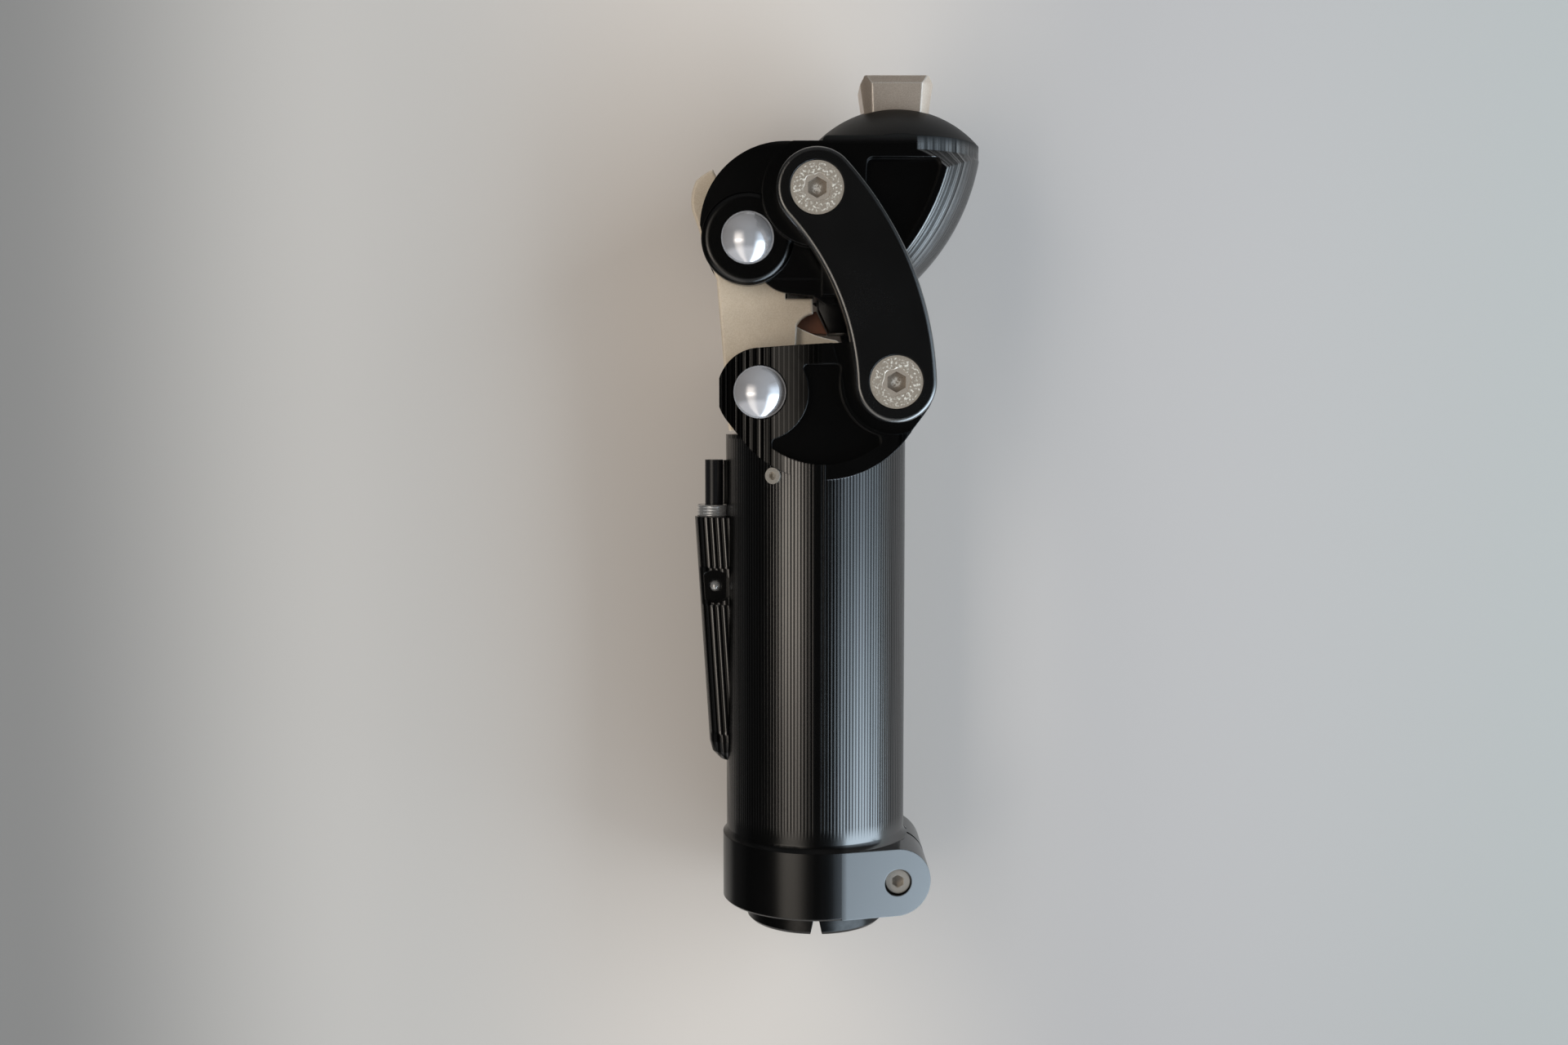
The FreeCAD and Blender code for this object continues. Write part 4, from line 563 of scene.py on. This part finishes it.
# Axles, pins and their bushes: the axles and pins are hardened steel, ground to size, and
# turn in plain bronze bushes that are pressed into the links, the head and the rod.
ground_steel = bright_metal("ground_steel", (0.60, 0.60, 0.61), 0.18, 0.10)
bronze = bright_metal("bearing_bronze", (0.55, 0.38, 0.18), 0.30, 0.2)
dress(["lower_rear_axle", "upper_rear_axle", "lower_front_axle", "rod_pin", "wrist_pin"],
      ground_steel)
dress(["lower_front_bushes", "lower_rear_bushes", "upper_rear_bushes", "upper_front_bushes",
       "rod_lower_bush", "rod_upper_bush"], bronze)


# Return spring: coil of drawn steel wire that stands on the cylinder's plug. The piston
# squashes it when the knee bends, and it pushes the knee straight again.
dress(["return_spring"], bright_metal("spring_wire", (0.42, 0.42, 0.43), 0.28, 0.15))
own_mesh(nodes["return_spring"])


# Piston and plug of the air cylinder: turned from aluminium bar and left bare. The piston
# slides in the liner, and a circlip holds the plug in the bottom of the tube.
dress(["piston", "cylinder_plug"], bright_metal("plain_aluminium", (0.66, 0.66, 0.67), 0.32, 0.2))


# Valve stem, rod and liner: the turning stem of the air valve is blackened steel, the rod
# from the rear link to the piston is anodised brown, and the liner is hard anodised.
def plain(name, colour, roughness, grain_scale, grain_depth):
    made = Finish(name)
    point = made.point()
    cloud = made.noise(point, scale=120.0, detail=4.0)
    grain = made.noise(point, scale=grain_scale, detail=2.0)
    deep = tuple(0.75 * part for part in colour)
    return made.principled({
        "Base Color": made.mix(cloud, deep, colour),
        "Roughness": roughness + grain * 0.15,
        "Normal": made.bump(grain, distance=grain_depth, strength=0.5),
    })


fine_grain = (2500.0, 0.000004)
dress(["valve_stem"], plain("black_oxide", (0.010, 0.010, 0.011), 0.16, *fine_grain))
dress(["connecting_rod"], plain("brown_anodised", (0.15, 0.068, 0.045), 0.28, *fine_grain))
dress(["cylinder_liner"], plain("hard_anodised", (0.10, 0.10, 0.095), 0.35, *fine_grain))


# Soft pieces: moulded rubber O-ring, piston seal and bumper, turned plastic thrust washers
# beside the rear link, and a strip of bearing tape round the piston.
soft_grain = (1500.0, 0.00001)
dress(["plug_o_ring", "piston_seal"],
      plain("black_rubber", (0.015, 0.015, 0.015), 0.5, *soft_grain))
dress(["extension_bumper"], plain("brown_rubber", (0.085, 0.045, 0.03), 0.45, *soft_grain))
dress(["upper_thrust_washers", "lower_thrust_washers"],
      plain("washer_plastic", (0.60, 0.57, 0.50), 0.4, *soft_grain))
dress(["piston_guide_ring"], plain("guide_tape", (0.35, 0.20, 0.09), 0.5, *soft_grain))


# Stop of the extended knee, seen in the gap beside the rear link: the head's black nose
# leans on a brown buffer that is seated in the notch of the rear link.
def block(name, outline, half_width, rounding, finish, body):
    """Plate of the given side outline, as far to the near side as to the far one."""
    shape = bmesh.new()
    near = [shape.verts.new((x, -half_width, z)) for x, z in outline]
    far = [shape.verts.new((x, half_width, z)) for x, z in outline]
    shape.faces.new(near)
    shape.faces.new(far[::-1])
    for here in range(len(outline)):
        after = (here + 1) % len(outline)
        shape.faces.new((near[after], near[here], far[here], far[after]))
    bmesh.ops.recalc_face_normals(shape, faces=shape.faces)
    bmesh.ops.bevel(shape, geom=shape.edges[:], offset=rounding, segments=3, affect="EDGES",
                    profile=0.5)
    mesh = bpy.data.meshes.new(name)
    shape.to_mesh(mesh)
    shape.free()
    made = bpy.data.objects.new(name, mesh)
    bpy.context.scene.collection.objects.link(made)
    mesh.materials.append(finish)
    smooth(made, crisp_from=40.0)
    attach(made, body)


buffer_side = [(-0.0058, 0.1590), (-0.0058, 0.1616), (-0.0022, 0.1627), (0.0000, 0.1633),
               (0.0029, 0.1574), (-0.0026, 0.1576)]
buffer_half_width, buffer_rounding = 0.0065, 0.0002
brown_buffer = plain("brown_buffer", (0.17, 0.072, 0.043), 0.4, *soft_grain)
block("stop_buffer", buffer_side, buffer_half_width, buffer_rounding, brown_buffer,
      "rear_link")
nose_side = [(0.0004, 0.1673), (0.0004, 0.1640), (0.0034, 0.1575), (0.0096, 0.1575),
             (0.0110, 0.1673)]
nose_half_width, nose_rounding = 0.0085, 0.0003
block("head_nose", nose_side, nose_half_width, nose_rounding, black_turned,
      "head")


# Thread of the valve's collar: four fine turns cut into the plated steel above the boss,
# with rounded crests. The collar under them is turned from bar and screwed into the boss.
collar_x = -0.0272
collar_bottom_z = 0.10902
collar_pitch = 0.00078
collar_turns = 4
crest_r = 0.00460
root_r = 0.00441
bore_r = 0.00435
round_steps = 96
crest_shape = [(0.04, 0.0), (0.30, 0.75), (0.50, 1.0), (0.70, 0.75), (0.96, 0.0)]
profile = [(bore_r, collar_bottom_z)]
for turn in range(collar_turns):
    turn_z = collar_bottom_z + turn * collar_pitch
    for share, out in crest_shape:
        profile.append((root_r + (crest_r - root_r) * out, turn_z + share * collar_pitch))
profile.append((bore_r, collar_bottom_z + collar_turns * collar_pitch))
thread_shape = bmesh.new()
rings = []
for step in range(round_steps):
    angle = 2 * math.pi * step / round_steps
    rings.append([thread_shape.verts.new((collar_x + r * math.cos(angle), r * math.sin(angle), z))
                  for r, z in profile])
for ring, next_ring in zip(rings, rings[1:] + rings[:1]):
    for here in range(len(profile)):
        after = (here + 1) % len(profile)
        thread_shape.faces.new((ring[here], next_ring[here], next_ring[after], ring[after]))
bmesh.ops.recalc_face_normals(thread_shape, faces=thread_shape.faces)
thread_mesh = bpy.data.meshes.new("valve_collar_thread")
thread_shape.to_mesh(thread_mesh)
thread_shape.free()
thread = bpy.data.objects.new("valve_collar_thread", thread_mesh)
bpy.context.scene.collection.objects.link(thread)
thread_mesh.materials.append(zinc_plate)
smooth(thread, crisp_from=50.0)
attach(thread, "shank")


# Web between the valve stem and the tube: a narrow rib of the tube's own metal above the
# collar. It closes the slit beside the stem and doesn't touch the stem.
web_side = [(-0.02465, 0.1123), (-0.02465, 0.1241), (-0.0236, 0.1241), (-0.0236, 0.1123)]
web_half_width, web_rounding = 0.0018, 0.0001
block("valve_web", web_side, web_half_width, web_rounding, black_turned,
      "shank")
